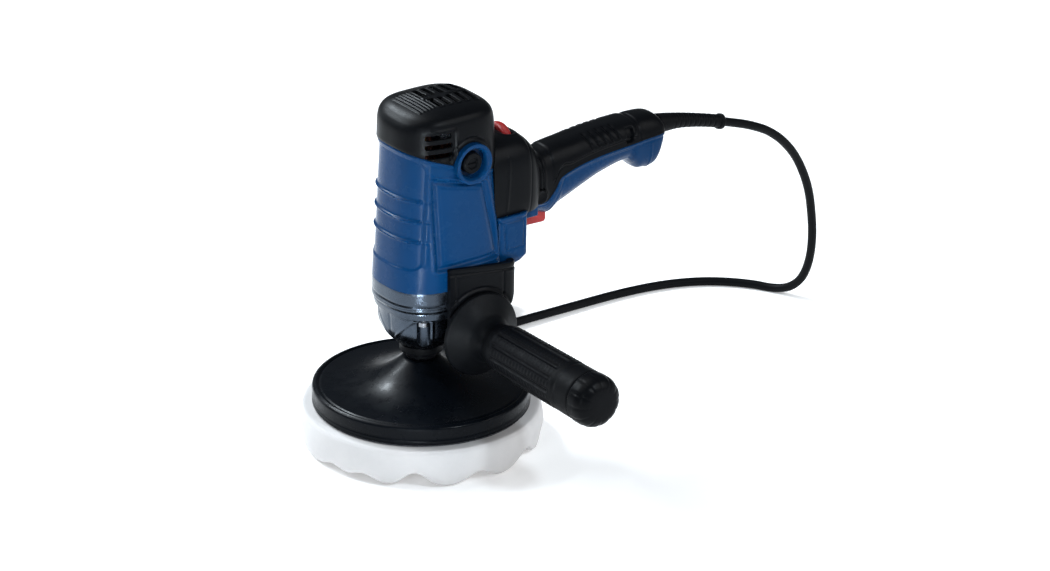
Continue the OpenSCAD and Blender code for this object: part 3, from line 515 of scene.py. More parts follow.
class Graph:
    """Small helper for procedural materials in object space, where one unit is a metre."""

    def __init__(self, name):
        self.mat = bpy.data.materials.new(name)
        self.mat.use_nodes = True
        self.tree = self.mat.node_tree
        self.bsdf = self.tree.nodes["Principled BSDF"]
        self.place = self.tree.nodes.new("ShaderNodeTexCoord").outputs["Object"]

    def value(self, name, value):
        """A value that is the same all over the surface, on the shader's own socket."""
        self.bsdf.inputs[name].default_value = value

    def drive(self, name, output):
        """Lets another node's output set the shader's own socket."""
        self.tree.links.new(output, self.bsdf.inputs[name])

    def node(self, kind, links, values):
        """A node with links and values on its inputs."""
        node = self.tree.nodes.new("ShaderNode" + kind)
        for key, value in values.items():
            node.inputs[key].default_value = value
        for key, output in links.items():
            self.tree.links.new(output, node.inputs[key])
        return node

    def noise(self, scale, detail=3, rough=0.5, stretch=None):
        at = self.place
        if stretch is not None:
            at = self.node("Mapping", {"Vector": at}, {"Scale": stretch}).outputs["Vector"]
        values = {"Scale": scale, "Detail": detail, "Roughness": rough}
        return self.node("TexNoise", {"Vector": at}, values).outputs["Fac"]

    def cells(self, scale):
        return self.node("TexVoronoi", {"Vector": self.place}, {"Scale": scale}).outputs["Distance"]

    def waves(self, scale, axis, distortion=0.0):
        node = self.node("TexWave", {"Vector": self.place}, {"Scale": scale, "Distortion": distortion})
        node.bands_direction = axis
        return node.outputs["Fac"]

    def colour(self, fac, stops):
        """A base colour that runs through (place, colour) stops."""
        node = self.node("ValToRGB", {"Fac": fac}, {})
        elements = node.color_ramp.elements
        while len(elements) < len(stops):
            elements.new(0.5)
        for element, (at, colour) in zip(elements, stops):
            element.position = at
            element.color = (*colour, 1)
        self.drive("Base Color", node.outputs["Color"])

    def rough(self, fac, low, high):
        values = {"From Min": 0.3, "From Max": 0.7, "To Min": low, "To Max": high}
        self.drive("Roughness", self.node("MapRange", {"Value": fac}, values).outputs["Result"])

    def bumped(self, fac, depth, strength=0.5):
        values = {"Strength": strength, "Distance": depth}
        self.drive("Normal", self.node("Bump", {"Height": fac}, values).outputs["Normal"])


def tint(colour, f):
    return tuple(min(1.0, c * f) for c in colour)


def moulded(name, colour, rough=0.4, grain=1900, depth=0.00003, vary=0.08, gloss=0.5):
    """Moulded plastic: a fine spark texture, and tone that drifts a little across the piece."""
    g = Graph(name)
    g.colour(g.noise(14, 4, 0.6), [(0.3, tint(colour, 1 - vary)), (0.7, tint(colour, 1 + vary))])
    g.rough(g.noise(60, 4, 0.6), rough - 0.05, rough + 0.06)
    g.bumped(g.noise(grain, 2, 0.6), depth)
    g.value("Specular IOR Level", gloss)
    return g.mat


def metal(name, colour, rough=0.3, grain=900, depth=0.00002, stretch=None):
    """Machined or cast metal: a fine grain, which may be drawn out along an axis."""
    g = Graph(name)
    g.value("Metallic", 1.0)
    g.colour(g.noise(30, 5, 0.6, stretch), [(0.3, tint(colour, 0.9)), (0.7, tint(colour, 1.1))])
    g.rough(g.noise(140, 4, 0.6, stretch), rough - 0.06, rough + 0.1)
    g.bumped(g.noise(grain, 3, 0.6, stretch), depth)
    return g.mat


def rubber(name, colour, rough=0.6, grain=2600, depth=0.00004, gloss=0.3):
    """Rubber: a soft pebbled surface."""
    g = Graph(name)
    g.value("Specular IOR Level", gloss)
    g.colour(g.noise(25, 5, 0.65), [(0.3, tint(colour, 0.85)), (0.7, tint(colour, 1.2))])
    g.rough(g.noise(90, 4, 0.6), rough - 0.06, rough + 0.1)
    g.bumped(g.cells(grain), depth)
    return g.mat


def foam_material(name):
    g = Graph(name)
    g.colour(g.noise(22, 5, 0.7), [(0.25, (0.53, 0.52, 0.52)), (0.7, (0.60, 0.585, 0.58))])
    g.rough(g.noise(90, 3, 0.6), 0.85, 0.97)
    g.bumped(g.cells(1500), 0.0002, 0.4)
    g.value("Subsurface Weight", 0.15)
    g.value("Subsurface Radius", (0.004, 0.004, 0.004))
    return g.mat


def hook_material(name):
    g = Graph(name)
    g.colour(g.cells(1300), [(0.0, (0.03, 0.03, 0.033)), (0.6, (0.10, 0.10, 0.11))])
    g.rough(g.noise(300, 3), 0.8, 0.95)
    g.bumped(g.cells(1300), 0.0004, 0.8)
    return g.mat


def winding_material(name):
    g = Graph(name)
    g.value("Metallic", 0.85)
    # The windings are painted a very dark brown, far darker than enamelled copper, as painted shade for the
    # inside of the housing seen through the louvres.
    g.colour(g.noise(60, 4), [(0.3, (0.07, 0.024, 0.012)), (0.7, (0.12, 0.042, 0.02))])
    g.rough(g.noise(200, 3), 0.28, 0.45)
    g.bumped(g.waves(420, "DIAGONAL", 0.4), 0.0003, 0.8)
    return g.mat


def laminated_material(name):
    g = Graph(name)
    g.value("Metallic", 0.9)
    g.colour(g.noise(80, 4), [(0.3, (0.22, 0.23, 0.25)), (0.7, (0.34, 0.35, 0.37))])
    g.rough(g.noise(120, 3), 0.4, 0.6)
    g.bumped(g.waves(320, "Z"), 0.0002, 0.8)
    return g.mat


def board_material(name):
    g = Graph(name)
    stops = [(0.1, (0.01, 0.08, 0.035)), (0.35, (0.015, 0.15, 0.06)), (0.36, (0.01, 0.09, 0.04))]
    g.colour(g.cells(420), stops)
    g.rough(g.noise(200, 3), 0.25, 0.4)
    g.bumped(g.cells(420), 0.0001, 0.6)
    return g.mat


BLUE = (0.0007, 0.0245, 0.080)
BLACK = (0.0024, 0.0028, 0.0036)
MATERIALS = {
    "blue_plastic": (moulded, BLUE, 0.26, 1700, 0.000012, 0.07, 0.08),
    "black_plastic": (moulded, BLACK, 0.36, 1500, 0.00004, 0.12, 0.055),
    "black_rubber": (rubber, (0.0026, 0.003, 0.0038), 0.46, 2600, 0.00004, 0.06),
    "red_plastic": (moulded, (0.28, 0.014, 0.014), 0.3, 1900, 0.00003, 0.08, 0.25),
    # cast_alloy is painted much darker and bluer than bare aluminium: a painted reflection of dark
    # surroundings.
    "cast_alloy": (metal, (0.05, 0.062, 0.08), 0.24, 700, 0.00004),
    "steel": (metal, (0.20, 0.21, 0.23), 0.25, 900, 0.00002, (1, 1, 8)),
    "laminated_steel": (laminated_material,),
    "copper": (winding_material,),
    "brass": (metal, (0.72, 0.52, 0.22), 0.28),
    "carbon": (rubber, (0.03, 0.03, 0.032), 0.5),
    "circuit_board": (board_material,),
    "capacitor_film": (moulded, (0.55, 0.40, 0.06), 0.3),
    "pad_rubber": (rubber, (0.0018, 0.0026, 0.004), 0.28, 1800, 0.00001, 0.07),
    "hook_fabric": (hook_material,),
    "white_foam": (foam_material,),
}
MAT = {name: make(name, *values) for name, (make, *values) in MATERIALS.items()}


def wear(obj, slot):
    """Gives a piece its slot's material."""
    obj.data.materials.clear()
    obj.data.materials.append(MAT[slot])
    return obj


SLOT_OF = {s["node"]: s["material_slot"] for s in frame["record"]["subparts"]}
BODY_OF = {node: body for body, nodes in frame["record"]["behaviour"]["bodies"].items() for node in nodes}


def piece(obj, node):
    """A finished visual piece, which takes the slot, body and place of the CAD node that it stands for."""
    wear(obj, SLOT_OF[node])
    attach(obj, BODY_OF[node])
    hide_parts(node)
    obj.name = node + ".visual"


for node_name, node_obj in NODES.items():
    wear(node_obj, SLOT_OF[node_name])


# ---- shape tools for relief and thin shells

def nearest(u, v, a, b):
    """The nearest point of the line from a to b: its place from 0 to 1, and how far off it is."""
    eu, ev = b[0] - a[0], b[1] - a[1]
    t = np.clip(((u - a[0]) * eu + (v - a[1]) * ev) / (eu * eu + ev * ev), 0, 1)
    return t, np.hypot(u - a[0] - eu * t, v - a[1] - ev * t)


def line_distance(u, v, a, b):
    return nearest(u, v, a, b)[1]


def polygon_distance(x, z, corners):
    """Signed distance from points to a polygon, negative inside."""
    best = np.full(np.shape(x), 1e9)
    inside = np.zeros(np.shape(x), bool)
    for a, b in zip(corners, corners[1:] + corners[:1]):
        best = np.minimum(best, line_distance(x, z, a, b))
        if a[1] != b[1]:
            inside ^= ((a[1] > z) != (b[1] > z)) & (x < a[0] + (z - a[1]) * (b[0] - a[0]) / (b[1] - a[1]))
    return np.where(inside, -best, best)


def round_box(u, v, half_u, half_v, r):
    """Signed distance to a rounded rectangle about the origin."""
    qu, qv = np.abs(u) - half_u + r, np.abs(v) - half_v + r
    return np.hypot(np.maximum(qu, 0), np.maximum(qv, 0)) + np.minimum(np.maximum(qu, qv), 0) - r


def strip_shell(grid, wall, n):
    """A shell over an open patch of points, closed along its four edges."""
    rows, cols = grid.shape[:2]
    inner = grid - wall * n
    shift = rows * cols
    faces = grid_faces(rows, cols, False)
    faces += [tuple(i + shift for i in f)[::-1] for f in faces]
    rim = [(0, i) for i in range(cols)] + [(r, cols - 1) for r in range(1, rows)]
    rim += [(rows - 1, i) for i in range(cols - 2, -1, -1)] + [(r, 0) for r in range(rows - 2, 0, -1)]
    at = [r * cols + c for r, c in rim]
    for a, b in zip(at, at[1:] + at[:1]):
        faces.append((b, a, a + shift, b + shift))
    return mesh_object(np.concatenate([grid, inner]).reshape(-1, 3), faces)


def open_normals(grid):
    n = np.cross(np.gradient(grid, axis=1), np.gradient(grid, axis=0))
    return n / np.maximum(np.linalg.norm(n, axis=2, keepdims=True), 1e-9)


def cutter_rod(r, y0, y1, x, z, steps=96):
    """A cutting cylinder along Y."""
    a = angles(steps)
    return prism(np.stack([x + r * np.cos(a), z + r * np.sin(a)], 1), y0, y1)


def body_cutter(grow=0.2):
    """A plug of the motor housing's outline, a little larger, that trims what meets it."""
    grid = body_grid(even_angles(120, 35, 61, 41), np.linspace(0, 1, 8), grow)
    grid[0, :, 2] -= 2
    return loft(grid)


# ---- motor housing

BODY_WALL = 2.6
SIDE_PANEL = [[-14.6, 244.5], [34.3, 232.8], [49.4, 167.4], [-10.3, 167.7]]
PANEL_FIELD = [[-8.5, 238], [30, 228.5], [43, 173], [-4.5, 173]]
FRONT_RIDGES = [226.8, 209.5, 192]
FRONT_HALF, FRONT_FOOT = 33.2, 167.5
REAR_RIBS = [236, 222, 208, 194, 180]
BRUSH_RING = [[9.2, 34.5], [17.2, 34.5], [17.2, 44.6], [14.2, 44.6], [12.6, 42.4], [12.5, 36.5], [9.2, 36.5]]
BRUSH_CAP = [[0.01, 34.5], [8.9, 34.5], [8.9, 41.4], [8.1, 42.3], [5.2, 42.0], [4.4, 40.2], [0.01, 40.2]]


def body_relief(grid):
    x, y, z = np.moveaxis(grid, -1, 0)
    ay = np.abs(y)
    down = joint_z(x) - z
    side = step(33, 37, ay) * step(-19, -16, x)
    # the side panel: a groove round it, a raised rim outside the groove and a raised field inside
    d = polygon_distance(x, z, SIDE_PANEL)
    out = side * (-2.2 * bell(d, 1.9) - 0.45 * step(0.5, -1.2, d) + 0.9 * bell(d - 3.6, 1.4))
    out += side * 0.35 * step(0.7, -0.7, polygon_distance(x, z, PANEL_FIELD))
    # the front: a sunk field with ridges across it, and a strip along each of its edges
    top = joint_z(x) - 4.5
    mid, half = (top + FRONT_FOOT) / 2, (top - FRONT_FOOT) / 2
    front = np.where(x < 5, round_box(ay, z - mid, FRONT_HALF, half, 7), 99)
    ridge = sum(bell(z - h, 1.35) for h in FRONT_RIDGES)
    out += -1.2 * step(0.9, -0.9, front) + 1.9 * ridge * step(-0.5, -3, front)
    strip = bell(ay - 34.6, 1.2) * step(169, 174, z) * step(265, 262, z) * (x < 5)
    out += strip * (0.9 - 0.8 * np.clip(ridge, 0, 1))
    # the corner's edge, a crease behind the panel, the rear ribs and the lip under the cooling cover
    out += 0.55 * bell(np.hypot(x + 21, ay - 38.2), 1.7)
    out += side * bell(line_distance(x, z, (39.5, 243), (53.4, 160)), 1.5)
    rib = sum(bell(z - h, 1.0) for h in REAR_RIBS)
    out += 0.5 * rib * step(56, 53, np.abs(x)) * step(31, 27, ay) * (x > 20)
    return out + 0.55 * bell(down - 1.3, 1.1) - 0.35 * bell(down - 3.6, 0.9)


def motor_housing():
    """The blue housing, with a raised ring round each brush cap."""
    grid = body_grid(even_angles(400, *BODY_FOOT), np.linspace(0, 1, 230))
    grid[-1, :, 2] -= 0.15
    grid = raised(grid, body_relief(grid))
    grid[0, :, 2] = BODY_Z + 0.05
    skin = shell(grid, BODY_WALL)
    boolean(skin, [cutter_rod(14.5, lo, lo + 30, MOTOR_X, BRUSH_Z) for lo in (-60, 30)])
    parts = [skin]
    for sign in (-1, 1):
        brush_ring = lathe(rounded(BRUSH_RING, 0.7, 4, True), 128, True)
        parts.append(place(brush_ring, along_y(MOTOR_X, BRUSH_Z, sign)))
    piece(join([crisp(part, 40) for part in parts]), "motor_housing")


def brush_caps():
    """Screw caps with a driver's slot."""
    for sign, node in ((-1, "brush_cap_left"), (1, "brush_cap_right")):
        cap = lathe(rounded(BRUSH_CAP, 0.5, 4))
        boolean(cap, slab([-4.2, -0.9, 39.0], [4.2, 0.9, 43]))
        piece(crisp(place(cap, along_y(MOTOR_X, BRUSH_Z, sign)), 35), node)


# ---- top cover

# [place along the profile, z, front, back, half width, front roundness, back roundness]
COVER_ROWS = [
    [0, 230, 34.4, 56.8, 40.6, 2.6, 3.4], [1, 270, 33, 56.6, 39.7, 2.6, 3.4],
    [2, 284, 32, 56, 39.2, 2.7, 3.4], [3, 290, 29.4, 54.5, 38.6, 2.9, 3.4],
    [4, 294.3, 25, 51.8, 36.6, 3.1, 3.3], [5, 297.6, 18.5, 46.5, 31.5, 3.3, 3.1],
    [6, 299.5, 11.5, 40.5, 24, 3.2, 2.8], [7, 300.6, 3, 33, 15, 2.8, 2.6],
    [8, 300.9, -6, 25, 6, 2.4, 2.4],
]
COVER_TOP = 8
COVER_WALL = 2.4
SLOT_X = [3 + 8.4 * k for k in range(5)]
SLOT_W = 4.6
FIN_X = [3.3 * k - 15 for k in range(5)]
LOUVRES = [(4 - k, 263.5 + 8 * k) for k in range(3)]


def cover_grid(phi, rows):
    """Rings from the slanted joint at the foot to a small flat at the top."""
    s0 = np.full_like(phi, 0.8)
    for _ in range(4):
        v = table(COVER_ROWS, s0, False)
        x = BODY_X + reach(phi, v[:, 1], v[:, 2], v[:, 3], BODY_X, v[:, 4], v[:, 5]) * np.cos(phi)
        s0 = (cover_edge_z(x) + 0.15 - 230) / 40
    s = s0 + (COVER_TOP - s0) * np.linspace(0, 1, rows)[:, None]
    v = np.where(s[..., None] < 1, table(COVER_ROWS, s, False), table(COVER_ROWS, s, True))
    r = reach(phi, v[..., 1], v[..., 2], v[..., 3], BODY_X, v[..., 4], v[..., 5])
    return np.stack([BODY_X + r * np.cos(phi), r * np.sin(phi), v[..., 0]], 2)


def cover_relief(grid):
    x, y, z = np.moveaxis(grid, -1, 0)
    ay = np.abs(y)
    top = step(283, 289, z)
    out = 0
    # the top: a rim round each slot, a bar between the two rows of slots, and fins in front of them
    for sx in SLOT_X:
        d = round_box(x - sx - SLOT_W / 2, ay - 11, SLOT_W / 2, 8.4, 1.6)
        out += 0.55 * bell(d - 0.9, 0.9) * top
    out += 0.9 * step(2.6, 1.2, ay) * step(-1, 1, x) * step(44.5, 42, x) * top
    for fin in FIN_X:
        out += 0.7 * bell(x - fin, 0.8) * step(21, 19, ay) * step(292, 294, z)
    # the sides: a sunk window for the louvres, a groove and a rim round the brush cap, and the lower edge
    side = step(34, 37, ay)
    window = round_box(x + 8.5, z - 274.0, 14.5, 12.5, 3)
    out += side * (0.9 * bell(window - 0.6, 1.2) - 0.7 * step(0.3, -1.2, window))
    r = np.hypot(x - MOTOR_X, z - BRUSH_Z)
    out += side * (-1.1 * bell(r - 21.3, 1.0) + 0.35 * bell(r - 18.9, 1.1))
    return out - 0.6 * bell(z - cover_edge_z(x) - 0.2, 0.9)


def top_cover():
    grid = cover_grid(even_angles(420, 33.4, 56.6, 40, BODY_X, 2.9, 3.3), 170)
    grid = raised(grid, cover_relief(grid))
    inner = grid - COVER_WALL * normals(grid)
    inner[0, :, 2] = grid[0, :, 2]
    cover = hollow(grid, inner, False)
    slots = [
        slab([sx, lo, 270], [sx + SLOT_W, lo + 16.4, 310], 1.5)
        for sx in SLOT_X for lo in (2.8, -19.2)
    ]
    louvres = [slab([-20, -50, z], [x, 50, z + 4.5], 1.2) for x, z in LOUVRES]
    boolean(cover, [cutter_rod(17.5, -60, 60, MOTOR_X, BRUSH_Z), join(slots), join(louvres)])
    piece(crisp(cover, 38), "top_cover")


# ---- rear blocks

REAR_X = 62
REAR_WALL = 2.6
REAR_CURVE = (5, 9)
# [z, back, half width]
REAR_ROWS = [[150.5, 74, 31], [152.8, 78.5, 33], [157.6, 83.6, 34.8], [195, 83.6, 35.2]]
REAR_FIELD = [[58, 190], [78, 190], [78, 166], [60, 166]]
# [x, half width, low, high]
SHOULDER_ROWS = [
    [48, 34.5, 180, 259.5], [72, 34.5, 180, 259.5], [82, 34, 180, 258.2], [90, 32, 180, 253.5],
    [96, 28.5, 180, 247], [101, 24, 180, 238],
]
SHOULDER_WALL = 3.2
COVER_PLAN = (34.6, 57, 40.8, BODY_X, 2.6, 3.4)


def rear_housing():
    """The blue box below the shoulder, open at its top and fitted round the motor housing."""
    phi = even_angles(300, -50, 82, 33, REAR_X, *REAR_CURVE)
    heights = spans((150.5, 161, 16), (161.6, 195, 54))
    rows = [[z, -50, *table(REAR_ROWS, z, False), REAR_X, *REAR_CURVE] for z in heights]
    grid = ring_grid(rows, phi)
    x, y, z = np.moveaxis(grid, -1, 0)
    side = step(28, 32, np.abs(y))
    d = polygon_distance(x, z, REAR_FIELD)
    relief = side * (-0.8 * bell(d, 0.9) + 0.4 * step(0.5, -0.8, d))
    relief += 0.35 * bell(z - 193.6, 0.9) - 0.5 * bell(z - 191.2, 0.7)
    relief += (x > 80) * 0.6 * sum(bell(z - h, 1.0) for h in (168, 174, 180, 186)) * step(26, 22, np.abs(y))
    block = loft(raised(grid, relief))
    inner = ring_grid([
        [z, -52, back - REAR_WALL, half - REAR_WALL, REAR_X, *REAR_CURVE]
        for z, _, back, half, *_ in rows[::6] + rows[-1:]
    ], phi[::3])
    inner[0, :, 2], inner[-1, :, 2] = 153.2, 196
    boolean(block, [loft(inner), body_cutter()])
    piece(crisp(block, 35), "rear_housing")


def shoulder():
    """The black cover behind the cooling cover, with a window for the speed wheel."""
    xs = spans((48, 88, 62), (88.6, 101, 24))
    grid = section_grid([[x, *table(SHOULDER_ROWS, x)] for x in xs], 300, 3.4)
    x, y, z = np.moveaxis(grid, -1, 0)
    side = step(20, 26, np.abs(y))
    relief = side * 0.5 * bell(line_distance(x, z, (64, 246), (61, 200)), 1.1)
    relief += side * -0.45 * bell(x - 86.5 - 0.02 * (z - 220), 0.8)
    well = np.hypot(x - WHEEL_X, np.maximum(np.abs(y) - 8, 0))
    relief += (z > 245) * (-0.9 * step(8.5, 6, well) + 0.4 * bell(well - 9.5, 1.0))
    skin = shell(raised(grid, relief), SHOULDER_WALL)
    top = prism([[40, 237.3], [72.3, 263.1], [72.3, 290], [40, 290]], -60, 60)
    plan = ring_grid([[0, *COVER_PLAN]], even_angles(160, *COVER_PLAN))[0, :, :2]
    boolean(top, prism(plan, 225, 300, "z"), "INTERSECT")
    boolean(skin, [
        slab([40, -45, 170], [82.6, 45, 195.3]), slab([81, -45, 170], [112, 45, 192]),
        top, slab([72.1, -15.4, 232], [81.5, 15.4, 270], 0.8), body_cutter(),
        cutter_rod(6.9, -40, -8, BUTTON_X, BUTTON_Z),
    ])
    piece(crisp(skin, 38), "shoulder_cover")


def speed_wheel():
    """A red wheel with a knurled crown, on a short axle."""
    def notches(grid, a):
        return drawn_in(grid, 0.25 * np.cos(a * 36) ** 8 * step(12, 14.5, radius_of(grid)))

    crown = [[15.9 - 1.6 * (h / 3.8) ** 2, h] for h in np.linspace(-3.8, 3.8, 15)]
    wheel = lathe(rounded([
        [0.01, -8.2], [2, -8.2], [2, -4], [5, -4], [6, -3.2], [11, -3.2], [12, -3.9], *crown,
        [12, 3.9], [11, 3.2], [6, 3.2], [5, 4], [2, 4], [2, 7.8], [0.01, 7.8]
    ], 0.3), 288, relief=notches)
    piece(crisp(place(wheel, along_x(WHEEL_X, 0, WHEEL_Z)), 35), "speed_wheel")


# ---- rear handle

# [x, half width, low, high]
HANDLE_ROWS = [
    [101.3, 20.5, 180, 231.5], [112, 19.5, 177.5, 232], [119, 19, 175.4, 233.6], [127, 19, 180.4, 234.6],
    [140, 19, 186, 235.8], [156, 19, 192.8, 237.6], [172, 19, 198.9, 238.8], [199, 19, 204.4, 239.3],
    [206, 19, 198.9, 239.4], [213, 18.5, 192.8, 239.8], [222, 18.5, 192.2, 239.4], [227, 18.2, 193.6, 238.6],
    [230.5, 17.6, 198, 237.4], [233.4, 16.6, 206, 235.2], [235.6, 15, 214, 232.2], [237.2, 12, 218.5, 229.4],
    [238.2, 7, 221, 227],
]
# [x, z] of the joint between the upper and the lower shell
HANDLE_JOINT = [
    [80, 190.5], [112, 190.5], [120, 198], [127, 208.5], [140, 213.5], [156, 217], [172, 219], [199, 221],
    [226, 222.6], [250, 223],
]
HANDLE_WALL = 2.5
HANDLE_CURVE = 2.7


def joint_h(x):
    return table(HANDLE_JOINT, x)[..., 0]


def handle_patch(upper, cols=150, gap=0.12):
    """Points of the handle's skin above or below the joint of its shells, and their outward normals."""
    xs = spans((101.3, 229, 210), (229.6, 238.2, 30))
    v = table(HANDLE_ROWS, xs)
    w, lo, hi = v[:, 0:1], v[:, 1:2], v[:, 2:3]
    mid, half = (lo + hi) / 2, (hi - lo) / 2
    edge = joint_h(xs)[:, None] + (gap if upper else -gap)
    s = np.clip((edge - mid) / half, -0.98, 0.98)
    a0 = np.arcsin(power(s, HANDLE_CURVE / 2))
    u = np.linspace(0, 1, cols)[None]
    a = a0 + (math.pi - 2 * a0) * u if upper else math.pi - a0 + (math.pi + 2 * a0) * u
    y = w * power(np.cos(a), 2 / HANDLE_CURVE)
    z = mid + half * power(np.sin(a), 2 / HANDLE_CURVE)
    grid = np.stack([np.repeat(xs[:, None], cols, 1), y, z], 2)
    return grid, open_normals(grid)


def upper_relief(grid):
    x, y, z = np.moveaxis(grid, -1, 0)
    ay = np.abs(y)
    out = 0.25 * bell(z - joint_h(x) - 0.8, 0.8)
    # a raised grip panel with a groove along its lower edge
    line = joint_h(x) + 6.5 + 3.5 * step(140, 128, x)
    grip = step(118, 121, x) * step(206, 203, x)
    out += grip * (0.75 * step(-0.7, 0.7, z - line) - 0.75 * bell(z - line + 0.8, 0.9))
    # slanted finger grooves, and a notch behind them
    flank = step(6, 10, ay) * step(1, 3, z - line)
    for k in range(5):
        out -= 1.3 * bell(x - (158 + 7.2 * k - 0.45 * (z - 230)), 1.25) * flank
    notch = round_box(x - 197.5, z - 229.5, 3.6, 6.0, 1.2)
    out -= 3.0 * step(0.6, -0.8, notch) * step(8, 12, ay)
    # two grooves and two beads round the neck, a rim round the button and the step of the end
    out -= 0.9 * (bell(x - 104, 0.9) + bell(x - 108.2, 0.8))
    out += 0.5 * (bell(x - 106.1, 1.1) + bell(x - 110.4, 1.1))
    out += 0.5 * bell(np.hypot(x - BUTTON_X, z - BUTTON_Z) - 8.3, 0.8) * (y < 0)
    return out + 0.45 * step(207, 209, x) - 0.6 * bell(x - 208.4, 0.8)


def lower_relief(grid):
    x, _, z = np.moveaxis(grid, -1, 0)
    drop = joint_h(x) - z
    rise = z - table(HANDLE_ROWS, x)[..., 1]
    # a bead along the joint, a sunk flank, and a line at each end of it
    out = 0.5 * bell(drop - 1.0, 0.9) - 0.35 * bell(drop - 3.0, 0.8)
    out -= 0.8 * step(3.2, 4.4, drop) * step(2.0, 4.5, rise) * step(126, 130, x) * step(206, 200, x)
    out += 0.5 * bell(x - 220.5, 0.9) * step(3, 6, drop)
    return out - 0.5 * bell(x - 123.0 - 0.5 * (z - 190), 0.9) * step(2, 4, drop)


def handles():
    """The two shells of the rear handle. The trigger's slot is in the lower one."""
    grid, n = handle_patch(True)
    top = strip_shell(grid + upper_relief(grid)[..., None] * n, HANDLE_WALL, n)
    boolean(top, cutter_rod(6.6, -30, -10, BUTTON_X, BUTTON_Z))
    piece(crisp(top, 38), "handle_upper_shell")
    grid, n = handle_patch(False)
    low = strip_shell(grid + lower_relief(grid)[..., None] * n, HANDLE_WALL, n)
    tray = slab([83, -20, 181], [103, 20, 190.4], 1.2)
    boolean(tray, slab([86, -17, 184], [110, 17, 195]))
    gap = slab([86.2, -8.2, 165], [123.3, 8.2, 200], 1.0)
    boolean(low, gap, keep=True)
    boolean(tray, gap)
    piece(join([crisp(low, 38), crisp(tray, 38)]), "handle_lower_shell")


def trigger():
    """A red trigger with cross lines on its face, and its pin."""
    outline = rounded([
        [87.5, 190], [87.5, 171], [89.5, 169.3], [100, 168.2], [118, 167.5], [120, 169.5], [120, 190]
    ], 2.0, 5, True)
    body = bevel(prism(outline, -7.5, 7.5), 1.3, 3, 50)
    lines = [slab([x, -5.6, 163], [x + 1.3, 5.6, 168.9], 0.4, 2) for x in np.linspace(93, 113.8, 5)]
    boolean(body, join(lines))
    pin = place(rod(2, -11.5, 11.5, 48, 0.4), along_y(TRIGGER_X, TRIGGER_Z, 1))
    piece(join([crisp(body, 35), crisp(pin, 35)]), "trigger")


LOCK_ON_PROFILE = [
    [0.01, 10.5], [3, 10.5], [3, 14], [6.3, 14], [6.3, 21.8], [5.5, 22.5], [4.6, 21.9], [2.5, 21.3],
    [0.01, 21.0],
]


def button(node, profile, *at):
    """A round button that is pressed along Y."""
    piece(crisp(place(lathe(rounded(profile, 0.4)), along_y(*at)), 35), node)


# ---- gear head

# [z, front, back, half width, centre, front roundness, back roundness]
HEAD_ROWS = [
    [89, 17.5, 17.5, 17.5, 0, 2, 2], [91.6, 22, 31, 25, 4, 2.2, 2.2],
    [99.3, 28.5, 46, 34, 8, 2.4, 2.6], [105.5, 30.6, 53, 37, 10, 2.6, 3.5],
    [121.6, 32.4, 56, 38.5, 10, 2.6, 4], [123, 35, 58, 40.5, 10, 2.6, 4.5],
    [132.4, *BODY_FOOT, 10, 2.6, 4.5],
]
FLANGE_LOW, FLANGE_TOP = 132.6, 146.95
SCREW_SPOTS = [(-19, -30), (-19, 30), (45, -31), (45, 31)]
POCKET_NEAR, POCKET_FAR, POCKET_REACH = 5.4, 8.6, 1.6
HOOD_OUTER = (41.5, 66.3, 45.5, BODY_X, 2.6, 10)
HOOD_INNER = (38.5, 61.3, 41.3, BODY_X, 2.6, 10)
HOOD_LOW, HOOD_TOP = 108, 167


def pocket_end(spot):
    """Where a screw's pocket, which widens outwards from the screw, leaves the gear housing."""
    return spot[0] * POCKET_REACH, spot[1] * POCKET_REACH


def pocket_distance(x, y, spot):
    """Signed distance in plan to a screw's pocket."""
    t, d = nearest(x, y, spot, pocket_end(spot))
    return d - mix(POCKET_NEAR, POCKET_FAR, t)


def pocket_cutter(spot):
    bm = bmesh.new()
    for at, r in ((spot, POCKET_NEAR), (pocket_end(spot), POCKET_FAR)):
        for z, k in ((80, 1.0), (119.5, 1.0), (121, 0.72)):
            for a in angles(64):
                bm.verts.new(Vector((at[0] + k * r * math.cos(a), at[1] + k * r * math.sin(a), z)) * MM)
    bmesh.ops.convex_hull(bm, input=bm.verts)
    return from_bmesh(bm)


def gear_housing():
    """The cast gear housing, with screw pockets, two threaded bosses and the spindle lock's boss."""
    heights = spans((89, 105, 26), (105, 121, 18), (121, 124, 8), (124, 132.4, 12))
    heights = np.unique(np.append(heights, [row[0] for row in HEAD_ROWS]))
    rows = [[z, *table(HEAD_ROWS, z, z < 121.5)] for z in heights]
    grid = ring_grid(rows, even_angles(380, 33, 58, 40))
    x, y, z = np.moveaxis(grid, -1, 0)
    ay = np.abs(y)
    relief = 0.35 * bell(z - 131.2, 0.8) - 0.4 * bell(z - 128.8, 0.7)
    for spot in SCREW_SPOTS:
        relief += bell(pocket_distance(x, y, spot) - 1.5, 1.3) * step(92, 96, z) * step(123, 121, z)
    relief += 0.5 * bell(line_distance(ay, z, (0, 96), (26, 121)), 1.0) * (x < -5)
    relief -= 0.4 * step(-6, -9, x) * bell(ay - 0.5, 0.9) * step(95, 97, z) * step(121, 119, z)
    head = loft(raised(grid, relief))
    boolean(head, join([pocket_cutter(s) for s in SCREW_SPOTS]))
    boolean(head, rod(19, 97, 160))
    parts = [crisp(head, 30)]
    for sign in (-1, 1):
        parts.append(crisp(place(ring(5, 12, 28, 46.3), along_y(SIDE_X, SIDE_Z, sign)), 40))
    parts.append(crisp(place(ring(6.5, 9.5, 28, 43), along_y(LOCK_X, LOCK_Z, 1)), 40))
    piece(join(parts), "gear_housing")


